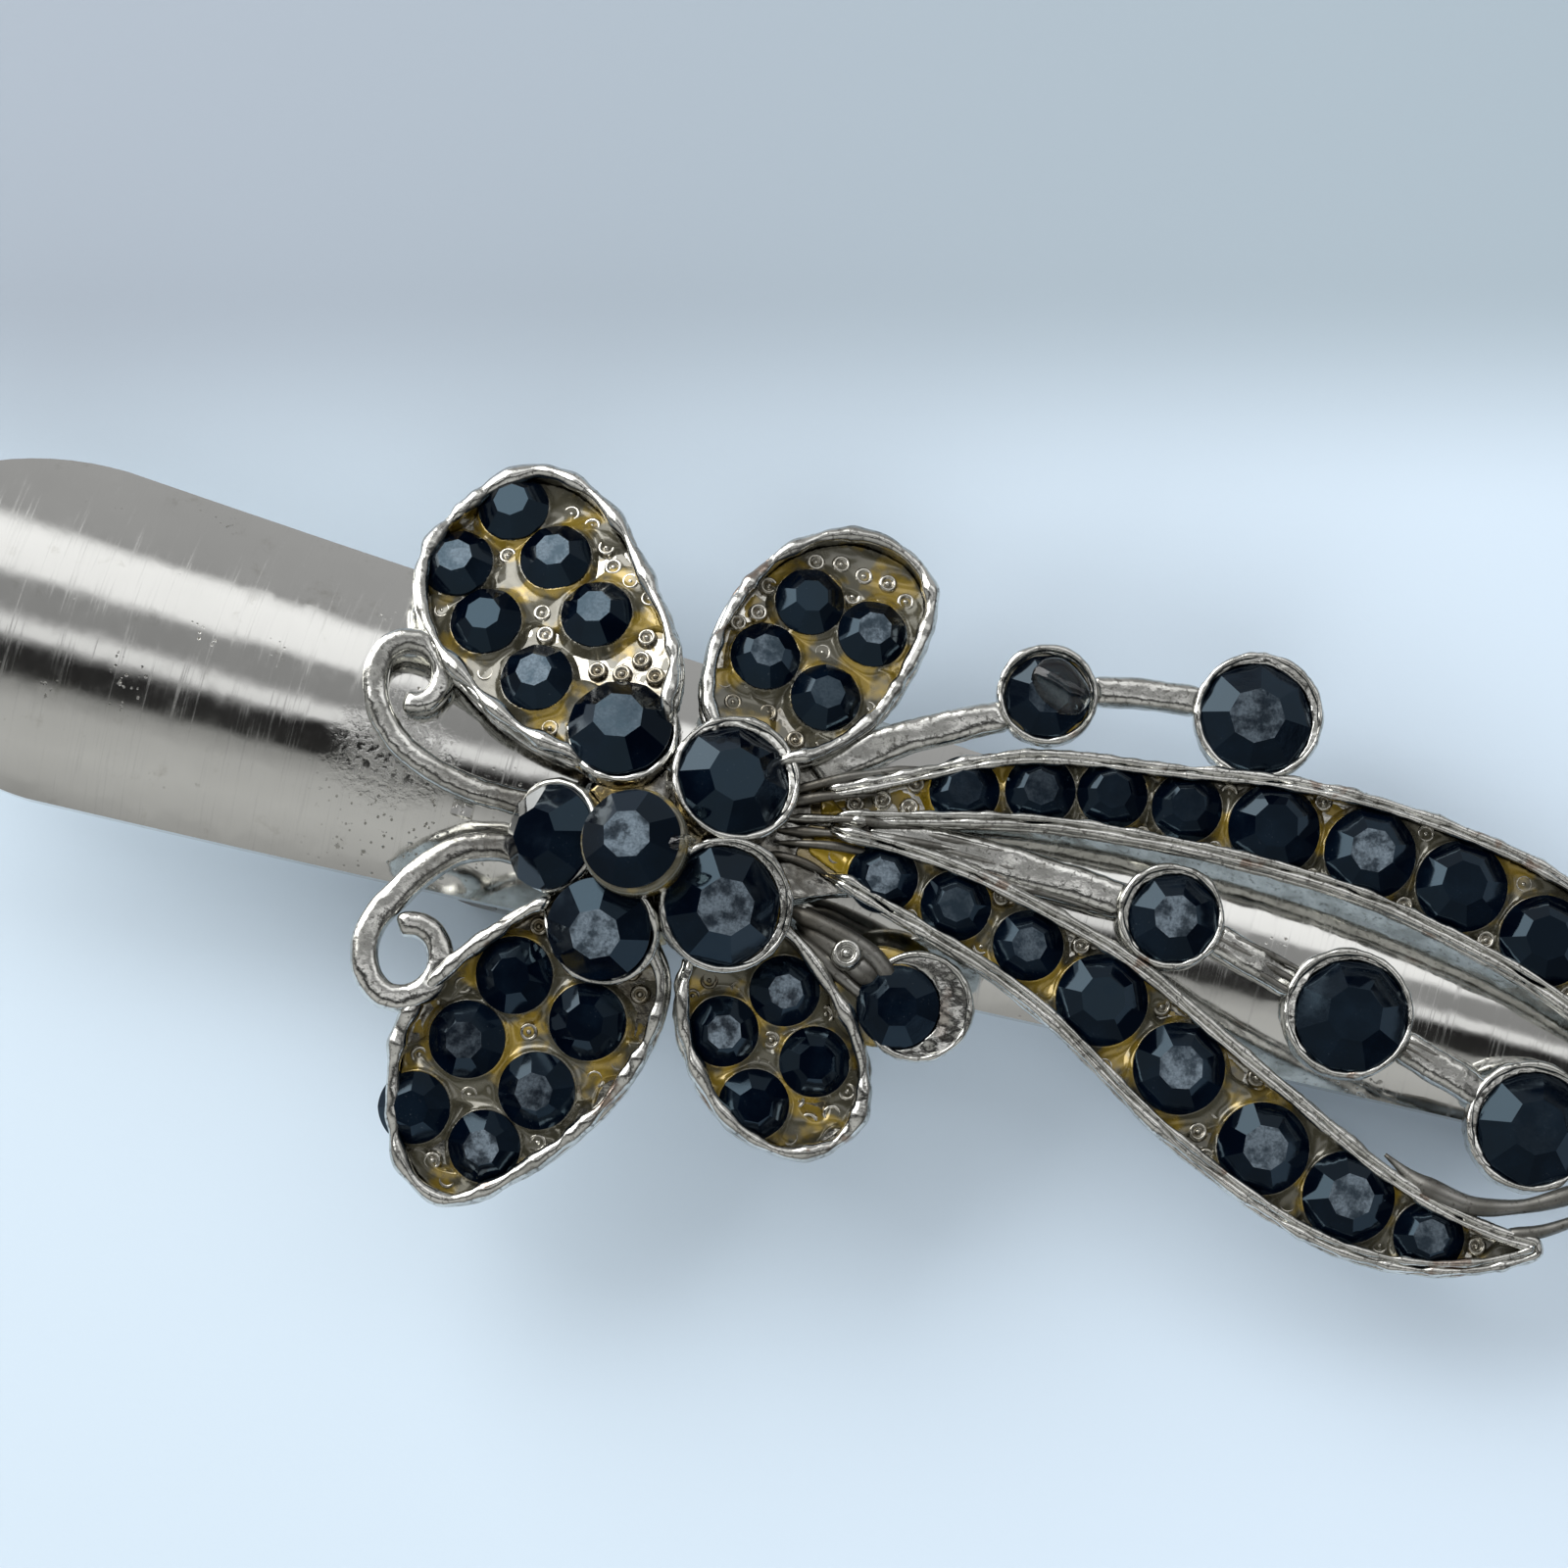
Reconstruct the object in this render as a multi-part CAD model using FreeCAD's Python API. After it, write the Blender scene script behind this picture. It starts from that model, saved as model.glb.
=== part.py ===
import FreeCAD, Part
import math
import os

from FreeCAD import Placement, Rotation, Vector

# A beak hair clip: a barrel-shaped top plate hinged on a toothed lower jaw, closed by a
# torsion spring, with a cast butterfly, flower and two ribbons of black rhinestones on top.
# Working frame, in millimetres: the hinge line is at X = 0, +X runs to the beak's tip,
# Y is across the clip, and Z = 0 is the flat underside of the lower jaw. The finished parts
# are shifted together at the end, so that the origin is under the middle of the whole clip.

# ---- driving dimensions ----
SHEET = 0.6                    # thickness of the pressed plate, jaw and bracket
HINGE_Z = 4.7                  # height of the hinge pin's axis
PIN_R = 0.6
PIN_RUNNING_CLEARANCE = 0.06   # radial, in the bracket that turns on the pin
PIN_HEAD_R = 0.9
EAR_R = 1.15                   # round end of each hinge ear
JAW_EAR_Y = 5.6                # middle of the jaw's ears, either side
BRACKET_EAR_Y = 3.0            # middle of the bracket's ears, either side

PLATE_HALF_AT_HINGE = 6.5
PLATE_TAPER = 0.052            # half width lost per millimetre towards the tip
PLATE_SIDE_ANGLE = 37.0        # slope of the barrel at the plate's edge, degrees
PLATE_REAR_X = -28.8
PLATE_REAR_ROUND = 9.3         # length of the round thumb end
PLATE_TIP_X = 56.5
PLATE_TIP_ROUND = 3.4
CROWN = [(-30.0, 12.8), (-14.0, 10.3), (0.0, 8.6), (15.0, 7.7), (30.0, 6.4), (45.0, 4.3),
         (58.0, 2.1)]          # height of the plate's ridge line along its length

TAB_LENGTH = 0.9               # square tabs that rivet the bracket to the plate
TAB_WIDTH = 0.8
TAB_REAR_X = -1.5

JAW_HALF_AT_HINGE = 4.6
JAW_HALF_AT_TIP = 2.5
JAW_REAR_X = -26.0
JAW_TIP_X = 54.5
TOOTH_PITCH = 2.2
TOOTH_DEPTH = 0.8

WIRE_R = 0.4                   # spring wire
COIL_R = 1.45                  # spring coil, to the middle of the wire
COIL_TURNS = 6

SMALL = 3.0                    # the ribbons' two stone diameters
MEDIUM = 3.9
STONE_GIRDLE = 0.12            # straight side of a stone, over its diameter
STONE_HEIGHT = 0.36            # whole height, over its diameter
STONE_TABLE = 0.46             # flat top across its flats, over its diameter

FLOOR = 0.45                   # metal under the stones
FILM = 0.25                    # adhesive between the tray's floor and the stones
RIM_TOP = 1.55                 # tray's full height
RIM = 0.4                      # tray's rim thickness
SEAT_GAP = 0.03                # round each stone
CUP_WALL = 0.36

FLOWER = (7.1, -2.8)           # middle of the flower in plan

Y_AXIS = Vector(0, 1, 0)
Z_AXIS = Vector(0, 0, 1)


# ---- placing and fitting ----
class Seat:
    """A tilted place on the ornament: its normal leans by tilt towards the azimuth lean."""

    def __init__(self, x, y, z, lean, tilt, heading=0.0):
        turn = math.radians(lean)
        hinge = Vector(-math.sin(turn), math.cos(turn), 0)
        rotation = Rotation(hinge, tilt).multiply(Rotation(Z_AXIS, heading))
        self.placement = Placement(Vector(x, y, z), rotation)

    def put(self, shape, x=0.0, y=0.0, z=0.0, spin=0.0):
        """A copy of the shape, moved within the seat's own plane and then into place."""
        local = Placement(Vector(x, y, z), Rotation(Z_AXIS, spin))
        placed = shape.copy()
        placed.Placement = self.placement.multiply(local)
        return placed


def largest(shape):
    return max(shape.Solids, key=lambda solid: solid.Volume)


def carve(shape, neighbours):
    """The shape with its neighbours' space removed, so that it meets them face to face."""
    for other in neighbours:
        if shape.BoundBox.intersect(other.BoundBox):
            shape = largest(shape.cut(other))
    return shape


def prism(points, height):
    """An upright solid on a polygon."""
    corners = [Vector(x, y, 0) for x, y in points]
    wire = Part.makePolygon(corners + corners[:1])
    return Part.Face(wire).extrude(Vector(0, 0, height))


def spline(points, closed=False):
    """A smooth curve through points; a third number rides along as the half width there."""
    curve = Part.BSplineCurve()
    curve.interpolate([Vector(*point) for point in points], PeriodicFlag=closed)
    return curve


def sampled(curve, count, trim=0.0):
    """Evenly spread points of a curve, with the flat direction to the left of each."""
    first, last = curve.FirstParameter, curve.LastParameter
    for i in range(count + 1):
        at = first + (last - first) * (trim + (1 - 2 * trim) * i / count)
        ahead = curve.tangent(at)[0]
        left = Vector(-ahead.y, ahead.x, 0).normalize()
        yield curve.value(at), left


def loop(points, inset=0.0):
    """A closed outline that runs anticlockwise through points, moved inwards by inset."""
    outline = spline([(x, y, 0) for x, y in points], closed=True)
    if inset:
        moved = [at + left * inset for at, left in sampled(outline, 3 * len(points))]
        outline = spline(moved[:-1], closed=True)
    return Part.Face(Part.Wire([outline.toShape()]))


def band(stations, inset=0.0):
    """A closed outline about a centre line of (x, y, half width), moved inwards by inset."""
    centre = spline(stations)
    left_side, right_side = [], []
    trim = inset / centre.length() if inset else 0.0
    for at, left in sampled(centre, 3 * (len(stations) - 1), trim):
        middle = Vector(at.x, at.y, 0)
        left_side.append(middle + left * (at.z - inset))
        right_side.append(middle - left * (at.z - inset))
    edges = [
        spline(left_side).toShape(),
        Part.makeLine(left_side[-1], right_side[-1]),
        spline(right_side).toShape(),
        Part.makeLine(right_side[0], left_side[0]),
    ]
    return Part.Face(Part.Wire(Part.__sortEdges__(edges)))


def bar(points, start_width, end_width, height):
    """A flat-topped bar along a smooth plan line, tapering from its start to its end."""
    stations = []
    for i, (x, y) in enumerate(points):
        share = i / (len(points) - 1)
        stations.append((x, y, 0.5 * (start_width + share * (end_width - start_width))))
    return band(stations).extrude(Vector(0, 0, height))


# ---- rhinestones ----
def octagon(across_flats, z):
    radius = 0.5 * across_flats / math.cos(math.pi / 8)
    corners = []
    for i in range(9):
        angle = math.pi / 8 + i * math.pi / 4
        corners.append(Vector(radius * math.cos(angle), radius * math.sin(angle), z))
    return Part.makePolygon(corners)


def rhinestone(diameter):
    """A flat-backed round stone with eight crown facets and an eight-sided table."""
    girdle = STONE_GIRDLE * diameter
    top = STONE_HEIGHT * diameter
    table = STONE_TABLE * diameter
    spread = (diameter - table) / (top - girdle)
    base = -0.2
    crown = Part.makeLoft([octagon(diameter + spread * (girdle - base), base), octagon(table, top)],
                          True, True)
    return Part.makeCylinder(diameter / 2, top).common(crown)


def stone_seat(diameter):
    return Part.makeCylinder(diameter / 2 + SEAT_GAP, 3.0)


# ---- clip mechanism ----
def barrel_section(x, crown_z):
    half = PLATE_HALF_AT_HINGE - PLATE_TAPER * x
    radius = half / math.sin(math.radians(PLATE_SIDE_ANGLE))
    reach = math.radians(PLATE_SIDE_ANGLE + 11.0)

    def on_arc(r, angle):
        return Vector(x, r * math.sin(angle), crown_z - radius + r * math.cos(angle))

    inner = radius - SHEET
    outer_arc = Part.Arc(on_arc(radius, -reach), on_arc(radius, 0), on_arc(radius, reach))
    inner_arc = Part.Arc(on_arc(inner, reach), on_arc(inner, 0), on_arc(inner, -reach))
    right = Part.makeLine(on_arc(radius, reach), on_arc(inner, reach))
    left = Part.makeLine(on_arc(inner, -reach), on_arc(radius, -reach))
    return Part.Wire([outer_arc.toShape(), right, inner_arc.toShape(), left])


def plate_plan():
    """The plate seen from above: round thumb end, straight tapering sides, round tip."""
    rear_x = PLATE_REAR_X + PLATE_REAR_ROUND
    rear_half = PLATE_HALF_AT_HINGE - PLATE_TAPER * rear_x
    tip_x = PLATE_TIP_X - PLATE_TIP_ROUND
    tip_half = PLATE_HALF_AT_HINGE - PLATE_TAPER * tip_x
    ellipse = Part.Ellipse(Vector(rear_x, 0, 0), PLATE_REAR_ROUND, rear_half)
    rear = Part.ArcOfEllipse(ellipse, math.pi / 2, 3 * math.pi / 2).toShape()
    right = Part.makeLine(Vector(rear_x, -rear_half, 0), Vector(tip_x, -tip_half, 0))
    tip = Part.Arc(Vector(tip_x, -tip_half, 0), Vector(PLATE_TIP_X, 0, 0), Vector(tip_x, tip_half, 0))
    left = Part.makeLine(Vector(tip_x, tip_half, 0), Vector(rear_x, rear_half, 0))
    wire = Part.Wire(Part.__sortEdges__([rear, right, tip.toShape(), left]))
    return Part.Face(wire).extrude(Vector(0, 0, 20))


def bracket_tabs():
    """Two square tabs that pass up through the plate, where they are riveted over."""
    tabs = []
    for side in (-1, 1):
        y = side * BRACKET_EAR_Y - TAB_WIDTH / 2
        tabs.append(Part.makeBox(TAB_LENGTH, TAB_WIDTH, 1.7, Vector(TAB_REAR_X, y, 7.0)))
    return tabs


def top_plate():
    sections = [barrel_section(x, z) for x, z in CROWN]
    barrel = Part.makeLoft(sections, True, False)
    plate = largest(barrel.common(plate_plan()))
    for tab in bracket_tabs():
        plate = plate.cut(tab)
    return plate


def hinge_bracket():
    """A U riveted under the plate, whose two ears turn on the pin."""
    strap_bottom = 6.65
    width = 2 * BRACKET_EAR_Y + SHEET
    bracket = Part.makeBox(5.2, width, SHEET, Vector(-2.2, -width / 2, strap_bottom))
    for side in (-1, 1):
        y = side * BRACKET_EAR_Y - SHEET / 2
        web = Part.makeBox(2.6, SHEET, strap_bottom - HINGE_Z, Vector(-1.0, y, HINGE_Z))
        boss = Part.makeCylinder(EAR_R, SHEET, Vector(0, y, HINGE_Z), Y_AXIS)
        bracket = bracket.fuse([web, boss])
    bracket = bracket.fuse(bracket_tabs())
    hole = Part.makeCylinder(PIN_R + PIN_RUNNING_CLEARANCE, width + 2,
                             Vector(0, -width / 2 - 1, HINGE_Z), Y_AXIS)
    return largest(bracket.cut(hole).removeSplitter())


def toothed_wall(side):
    """One upright, saw-toothed edge of the jaw, lower towards the tip."""
    start, count = 14.0, 16
    points = [(start, 0.0)]
    for i in range(count + 1):
        x = start + i * TOOTH_PITCH
        top = 2.5 - 0.9 * i / count
        points.append((x, top - TOOTH_DEPTH))
        if i < count:
            points.append((x + TOOTH_PITCH / 2, top))
    points.append((start + count * TOOTH_PITCH, 0.0))
    corners = [Vector(x, 0, z) for x, z in points]
    wall = Part.Face(Part.makePolygon(corners + corners[:1])).extrude(Vector(0, SHEET, 0))
    slope = math.degrees(math.atan2(JAW_HALF_AT_HINGE - JAW_HALF_AT_TIP, JAW_TIP_X))
    edge = JAW_HALF_AT_HINGE if side > 0 else JAW_HALF_AT_HINGE - SHEET
    wall.rotate(Vector(0, 0, 0), Z_AXIS, -side * slope)
    wall.translate(Vector(0, side * edge - (SHEET if side > 0 else 0), 0))
    return wall


def jaw_ear(side):
    y = side * JAW_EAR_Y - SHEET / 2
    web = Part.makeBox(2 * EAR_R, SHEET, HINGE_Z, Vector(-EAR_R, y, 0))
    boss = Part.makeCylinder(EAR_R, SHEET, Vector(0, y, HINGE_Z), Y_AXIS)
    inner = JAW_HALF_AT_HINGE - 0.6
    foot_y = inner if side > 0 else -JAW_EAR_Y - SHEET / 2
    foot = Part.makeBox(2 * EAR_R, JAW_EAR_Y + SHEET / 2 - inner, SHEET, Vector(-EAR_R, foot_y, 0))
    return [web, boss, foot]


def lower_jaw():
    """The flat lower piece: thumb lever behind the hinge, toothed jaw in front of it."""
    rear_round = 4.2
    rear = Part.Arc(Vector(JAW_REAR_X + rear_round, rear_round, 0), Vector(JAW_REAR_X, 0, 0),
                    Vector(JAW_REAR_X + rear_round, -rear_round, 0))
    tip_x = JAW_TIP_X - 1.8
    tip = Part.Arc(Vector(tip_x, -JAW_HALF_AT_TIP, 0), Vector(JAW_TIP_X, 0, 0),
                   Vector(tip_x, JAW_HALF_AT_TIP, 0))
    right = Part.makePolygon([Vector(JAW_REAR_X + rear_round, -rear_round, 0),
                              Vector(0, -JAW_HALF_AT_HINGE, 0), Vector(tip_x, -JAW_HALF_AT_TIP, 0)])
    left = Part.makePolygon([Vector(tip_x, JAW_HALF_AT_TIP, 0), Vector(0, JAW_HALF_AT_HINGE, 0),
                             Vector(JAW_REAR_X + rear_round, rear_round, 0)])
    edges = [rear.toShape()] + right.Edges + [tip.toShape()] + left.Edges
    blade = Part.Face(Part.Wire(Part.__sortEdges__(edges))).extrude(Vector(0, 0, SHEET))
    upright = jaw_ear(-1) + jaw_ear(1) + [toothed_wall(-1), toothed_wall(1)]
    jaw = blade.fuse(upright)
    span = 2 * JAW_EAR_Y + 4
    hole = Part.makeCylinder(PIN_R, span, Vector(0, -span / 2, HINGE_Z), Y_AXIS)
    return largest(jaw.cut(hole).removeSplitter())


def hinge_pin():
    ear_face = JAW_EAR_Y + SHEET / 2
    head = 0.5
    pin = Part.makeCylinder(PIN_R, 2 * ear_face, Vector(0, -ear_face, HINGE_Z), Y_AXIS)
    far = Part.makeCylinder(PIN_HEAD_R, head, Vector(0, ear_face, HINGE_Z), Y_AXIS)
    near = Part.makeCylinder(PIN_HEAD_R, head, Vector(0, -ear_face - head, HINGE_Z), Y_AXIS)
    return pin.fuse([far, near]).removeSplitter()


def torsion_spring():
    """Close-wound coil round the pin, with a leg to each lever behind the hinge."""
    pitch = 2 * WIRE_R
    first = -COIL_TURNS * pitch / 2
    waist = WIRE_R / 2
    edges = []
    for i in range(COIL_TURNS):
        near, middle, far = (first + (i + k) * pitch for k in (0.0, 0.5, 1.0))
        for way in (1, -1):
            arc = Part.Arc(Vector(COIL_R + way * waist, near, 0),
                           Vector(COIL_R + way * WIRE_R, middle, 0),
                           Vector(COIL_R + way * waist, far, 0))
            edges.append(arc.toShape())
    for y in (first, -first):
        edges.append(Part.makeLine(Vector(COIL_R - waist, y, 0), Vector(COIL_R + waist, y, 0)))
    profile = Part.Face(Part.Wire(Part.__sortEdges__(edges)))
    coil = profile.revolve(Vector(0, 0, 0), Y_AXIS, 360)
    coil.translate(Vector(0, 0, HINGE_Z))
    legs = []
    for y, start, end in ((first + WIRE_R, Vector(-0.9, 0, 5.85), Vector(-9.5, 0, 8.45)),
                          (-first - WIRE_R, Vector(-0.9, 0, 3.55), Vector(-9.5, 0, 1.1))):
        run = end - start
        foot = start + Vector(0, y, 0)
        legs.append(Part.makeCylinder(WIRE_R, run.Length, foot, run))
    return coil.fuse(legs)


# ---- cast ornament: stones and cups ----
class Setting:
    """A single stone in its cup. seat is the cup's underside and spin turns the facets; the cup's
    outside is set off by shift, and its lip stands above the stone's straight side."""

    def __init__(self, name, diameter, seat, spin, shift, lip=0.12, wall=CUP_WALL, base_share=1.0):
        self.name = name
        self.diameter = diameter
        self.seat = seat
        self.spin = spin
        self.shift = shift
        self.height = FLOOR + STONE_GIRDLE * diameter + lip
        self.outer_r = diameter / 2 + wall
        self.base_share = base_share

    def stone(self):
        return self.seat.put(rhinestone(self.diameter), z=FLOOR, spin=self.spin)

    def cup(self):
        """A round bezel cup, narrowed underneath where base_share is below 1."""
        if self.base_share < 1.0:
            outside = Part.makeCone(self.outer_r * self.base_share, self.outer_r, self.height)
        else:
            outside = Part.makeCylinder(self.outer_r, self.height)
        outside.translate(Vector(self.shift[0], self.shift[1], 0))
        pocket = Part.makeCylinder(self.diameter / 2 + SEAT_GAP, self.height, Vector(0, 0, FLOOR))
        return self.seat.put(outside.cut(pocket))


SETTINGS = [
    Setting("petal_1", 4.4, Seat(5.02, 1.35, 10.29, 99, 17), 10, (0.17, -0.10), lip=-0.22, wall=0.16),
    Setting("petal_2", 4.8, Seat(9.94, 0.41, 10.01, 36, 18), 31, (0.13, 0.20)),
    Setting("petal_3", 5.0, Seat(10.87, -4.54, 9.97, -18, 19), 4, (0.20, 0.12)),
    Setting("petal_4", 4.4, Seat(6.45, -6.55, 10.22, -82, 22), 25, (0.18, -0.10), lip=-0.22, wall=0.16),
    Setting("petal_5", 4.5, Seat(3.82, -3.50, 9.96, -164, 31), 38, (-0.04, 0.12), lip=-0.25, wall=0.16),
    Setting("flower_centre", 4.2, Seat(7.13, -3.12, 11.92, 180, 5), 17, (0.08, 0.02), base_share=0.55),
    Setting("upper_inner", 3.6, Seat(21.80, 8.03, 7.66, 0, 6), 12, (0.0, 0.08)),
    Setting("upper_outer", 4.8, Seat(30.51, 9.47, 6.57, 0, 6), 30, (0.13, 0.22)),
    Setting("middle_inner", 3.8, Seat(29.44, 0.23, 6.90, 0, 6), 20, (-0.16, 0.08)),
    Setting("middle_centre", 4.8, Seat(37.70, -1.75, 5.83, 0, 6), 6, (-0.20, 0.11)),
    Setting("middle_outer", 4.8, Seat(46.26, -4.21, 4.56, 0, 7), 28, (-0.18, 0.10)),
    Setting("lower_side", 3.5, Seat(19.22, -6.39, 7.70, -60, 9), 15, (0.82, 0.22), lip=-0.05, wall=0.6),
]


def settings():
    """Every single stone in its own cup, each as its own node."""
    stones, cups = {}, {}
    for setting in SETTINGS:
        stones["stone_" + setting.name] = setting.stone()
    placed = []
    for setting in SETTINGS:
        others = [stone for key, stone in stones.items() if key != "stone_" + setting.name]
        cup = carve(setting.cup(), others + placed)
        placed.append(cup)
        cups["cup_" + setting.name] = cup
    return stones, cups


# ---- cast ornament: wings and ribbons ----
# Stone positions and outlines are in each tray's own plane, first number outwards.
class Tray:
    """A shallow rimmed tray; outline is loop or band, which draw its points or stations."""

    def __init__(self, name, seat, outline, points, stones):
        self.name = name
        self.seat = seat
        self.outline = outline
        self.points = points
        self.stones = stones

    def metal(self):
        body = self.outline(self.points).extrude(Vector(0, 0, RIM_TOP))
        pocket = self.outline(self.points, RIM).extrude(Vector(0, 0, RIM_TOP))
        pocket.translate(Vector(0, 0, FLOOR))
        body = body.cut(pocket)
        for x, y, diameter in self.stones:
            seat = stone_seat(diameter)
            seat.translate(Vector(x, y, FLOOR + FILM))
            body = body.cut(seat)
        return self.seat.put(largest(body))

    def film(self):
        """The bed of dried adhesive that holds the stones."""
        sheet = self.outline(self.points, RIM + SEAT_GAP).extrude(Vector(0, 0, FILM))
        return self.seat.put(sheet, z=FLOOR)

    def gems(self):
        gems = []
        for i, (x, y, diameter) in enumerate(self.stones):
            gems.append(self.seat.put(rhinestone(diameter), x, y, FLOOR + FILM, spin=(37 * i) % 45))
        return Part.makeCompound(gems)


def small(points):
    return [(x, y, SMALL) for x, y in points]


TRAYS = [
    Tray("wing_upper_left", Seat(-0.54, 6.28, 8.35, 117, 15, 128), loop,
         [(-8.8, -2.0), (-6.2, -4.7), (-1.6, -5.1), (3.3, -4.4), (5.7, -2.3), (5.6, 0.4), (3.7, 3.7),
          (1.0, 4.8), (-3.1, 4.1), (-7.6, 1.7)],
         [(4.4, -0.75, 3.1), (2.85, 2.4, 3.1), (1.3, -1.6, 3.1), (-2.05, -2.3, 3.1), (-0.35, 2.2, 3.1),
          (-3.85, 1.1, 3.1)]),
    Tray("wing_lower_left", Seat(3.71, -12.78, 7.76, -87, 11, -112), loop,
         [(-8.0, 1.0), (-6.8, -2.4), (-4.8, -3.4), (-1.5, -4.4), (2.0, -4.3), (4.4, -2.8), (5.9, -1.5),
          (6.7, 0.2), (6.6, 1.5), (4.4, 3.3), (-0.2, 4.8), (-4.3, 4.8), (-7.0, 3.6)],
         [(-3.1, -1.7, 3.3), (0.3, -1.7, 3.3), (-3.4, 2.0, 3.3), (0.25, 2.0, 3.3), (4.0, -1.8, 3.1),
          (3.5, 1.6, 3.1)]),
    Tray("wing_upper_right", Seat(11.81, 7.36, 7.82, 49, 15, 62), loop,
         [(-6.2, 0.0), (-4.6, -3.0), (-1.8, -4.0), (2.1, -3.5), (5.7, -1.2), (5.5, 1.8), (2.9, 4.0),
          (-1.0, 4.2), (-4.8, 2.5)],
         small([(1.2, 1.8), (2.1, -1.1), (-2.0, 1.4), (-1.5, -1.7)])),
    Tray("wing_lower_right", Seat(14.25, -9.47, 7.48, -35, 14, -62), loop,
         [(-5.6, -0.5), (-3.1, -3.3), (0.1, -3.4), (3.1, -2.2), (4.9, 0.5), (4.1, 3.0), (1.3, 4.0),
          (-2.9, 3.0), (-5.0, 1.8)],
         small([(-2.2, 1.2), (-1.1, -1.7), (1.0, 1.8), (2.2, -1.1)])),
    Tray("ribbon_upper", Seat(32.09, 4.76, 6.24, 0, 6, 0), band,
         [(-18.8, -4.0, 0.7), (-13.6, -2.1, 1.3), (-9.9, -0.8, 1.65), (-5.5, -0.1, 1.75),
          (0.9, 0.6, 2.1), (5.0, 0.6, 2.25), (9.1, 0.1, 2.4), (13.2, -0.9, 2.4), (17.0, -2.9, 2.0),
          (20.2, -5.0, 1.5), (23.0, -7.2, 0.4)],
         [(-12.7, -1.6, SMALL), (-9.6, -0.7, SMALL), (-6.6, 0.0, SMALL), (-3.4, 0.3, SMALL),
          (0.4, 0.4, MEDIUM), (4.6, 0.5, MEDIUM), (8.7, 0.2, MEDIUM), (12.7, -1.1, MEDIUM),
          (16.3, -2.8, SMALL), (19.0, -4.5, SMALL)]),
    Tray("ribbon_lower", Seat(29.92, -4.82, 6.30, -26, 8, 0), band,
         [(-16.6, 4.2, 0.7), (-13.0, 3.7, 1.45), (-9.4, 3.1, 1.8), (-5.9, 2.2, 2.0), (-2.6, 1.0, 2.3),
          (1.25, -1.0, 2.5), (5.45, -2.9, 2.5), (9.5, -4.4, 2.2), (13.4, -4.9, 1.55), (17.9, -4.1, 0.35)],
         [(-12.9, 3.5, SMALL), (-9.6, 3.2, SMALL), (-6.2, 2.4, SMALL), (-2.6, 1.0, MEDIUM),
          (1.3, -0.9, MEDIUM), (5.6, -3.2, MEDIUM), (9.6, -4.2, MEDIUM), (13.3, -4.9, SMALL)]),
]


def trays(stones, cups):
    metals, films, gems = {}, {}, {}
    for tray in TRAYS:
        gems["stones_" + tray.name] = tray.gems()
    for tray in TRAYS:
        own = "stones_" + tray.name
        loose = [gem for name, group in gems.items() if name != own for gem in group.Solids]
        solid_things = list(cups.values()) + list(stones.values()) + loose
        metals[tray.name] = carve(tray.metal(), solid_things + list(metals.values()))
        films["adhesive_" + tray.name] = carve(tray.film(), solid_things + list(metals.values()))
    return metals, films, gems


# ---- cast ornament: wires, stems and hub ----
DECK = Seat(30.0, 0.0, 6.75, 0, 6)      # plane of the stems, just clear of the plate's ridge


def antennae():
    """The butterfly's two feelers, each ending in a curl."""
    seat = Seat(0.0, 0.0, 9.0, 0, 6)
    upper = [(2.4, -2.2), (-0.2, -2.3), (-3.8, -1.5), (-5.9, 0.6), (-5.8, 2.8), (-4.0, 3.1), (-3.3, 1.5),
             (-4.5, 0.6)]
    lower = [(2.4, -4.4), (-0.4, -4.9), (-2.5, -7.4), (-3.2, -10.3), (-1.8, -11.8), (-0.1, -10.9),
             (-0.4, -8.9), (-2.0, -8.8)]
    return {
        "antenna_upper": seat.put(bar(upper, 0.9, 0.7, 0.8)),
        "antenna_lower": seat.put(bar(lower, 1.0, 0.8, 0.8)),
    }


def stems():
    """Bars of the casting that carry the single stones between the ribbons."""
    upper = bar([(-16.6, 2.0), (-13.9, 4.5), (-10.0, 6.7), (-8.2, 7.7)], 1.3, 0.9, 1.0)
    upper_outer = bar([(-8.2, 8.2), (-4.0, 9.4), (0.5, 9.6)], 1.0, 1.0, 1.0)
    inner = bar([(-14.0, 0.3), (-6.1, 0.6), (0.5, 0.2)], 1.6, 1.1, 0.9)
    outer = bar([(0.5, 0.2), (4.1, -0.7), (8.0, -1.7)], 1.1, 1.2, 0.9)
    last = bar([(8.0, -1.7), (12.4, -2.9), (16.5, -4.1)], 1.2, 1.1, 0.9)
    tail = bar([(12.6, -8.1), (15.3, -7.4), (18.0, -7.4), (21.0, -6.6), (24.0, -4.2)], 1.5, 0.8, 0.9)
    side = bar([(-12.0, -2.6), (-11.4, -4.2), (-10.9, -5.6)], 2.6, 1.8, 0.8)
    return {
        "stem_upper_inner": DECK.put(upper),
        "stem_upper_outer": DECK.put(upper_outer),
        "stem_middle_inner": DECK.put(inner),
        "stem_middle_centre": DECK.put(outer),
        "stem_middle_outer": DECK.put(last),
        "stem_tail": DECK.put(tail),
        "stem_lower_side": DECK.put(side),
    }


def flower_hub():
    """The thick middle of the casting, under the flower, with a neck to the ribbons."""
    seat = Seat(FLOWER[0], FLOWER[1], 8.45, 0, 5)
    boss = Part.makeCone(4.2, 3.2, 2.6)
    post = Part.makeCylinder(1.4, 4.0)
    neck = prism([(0.0, -2.2), (5.0, -1.2), (9.4, 0.6), (9.6, 4.6), (6.2, 6.2), (0.0, 4.0)], 1.3)
    return seat.put(largest(boss.fuse([post, neck]).removeSplitter()))


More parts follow.
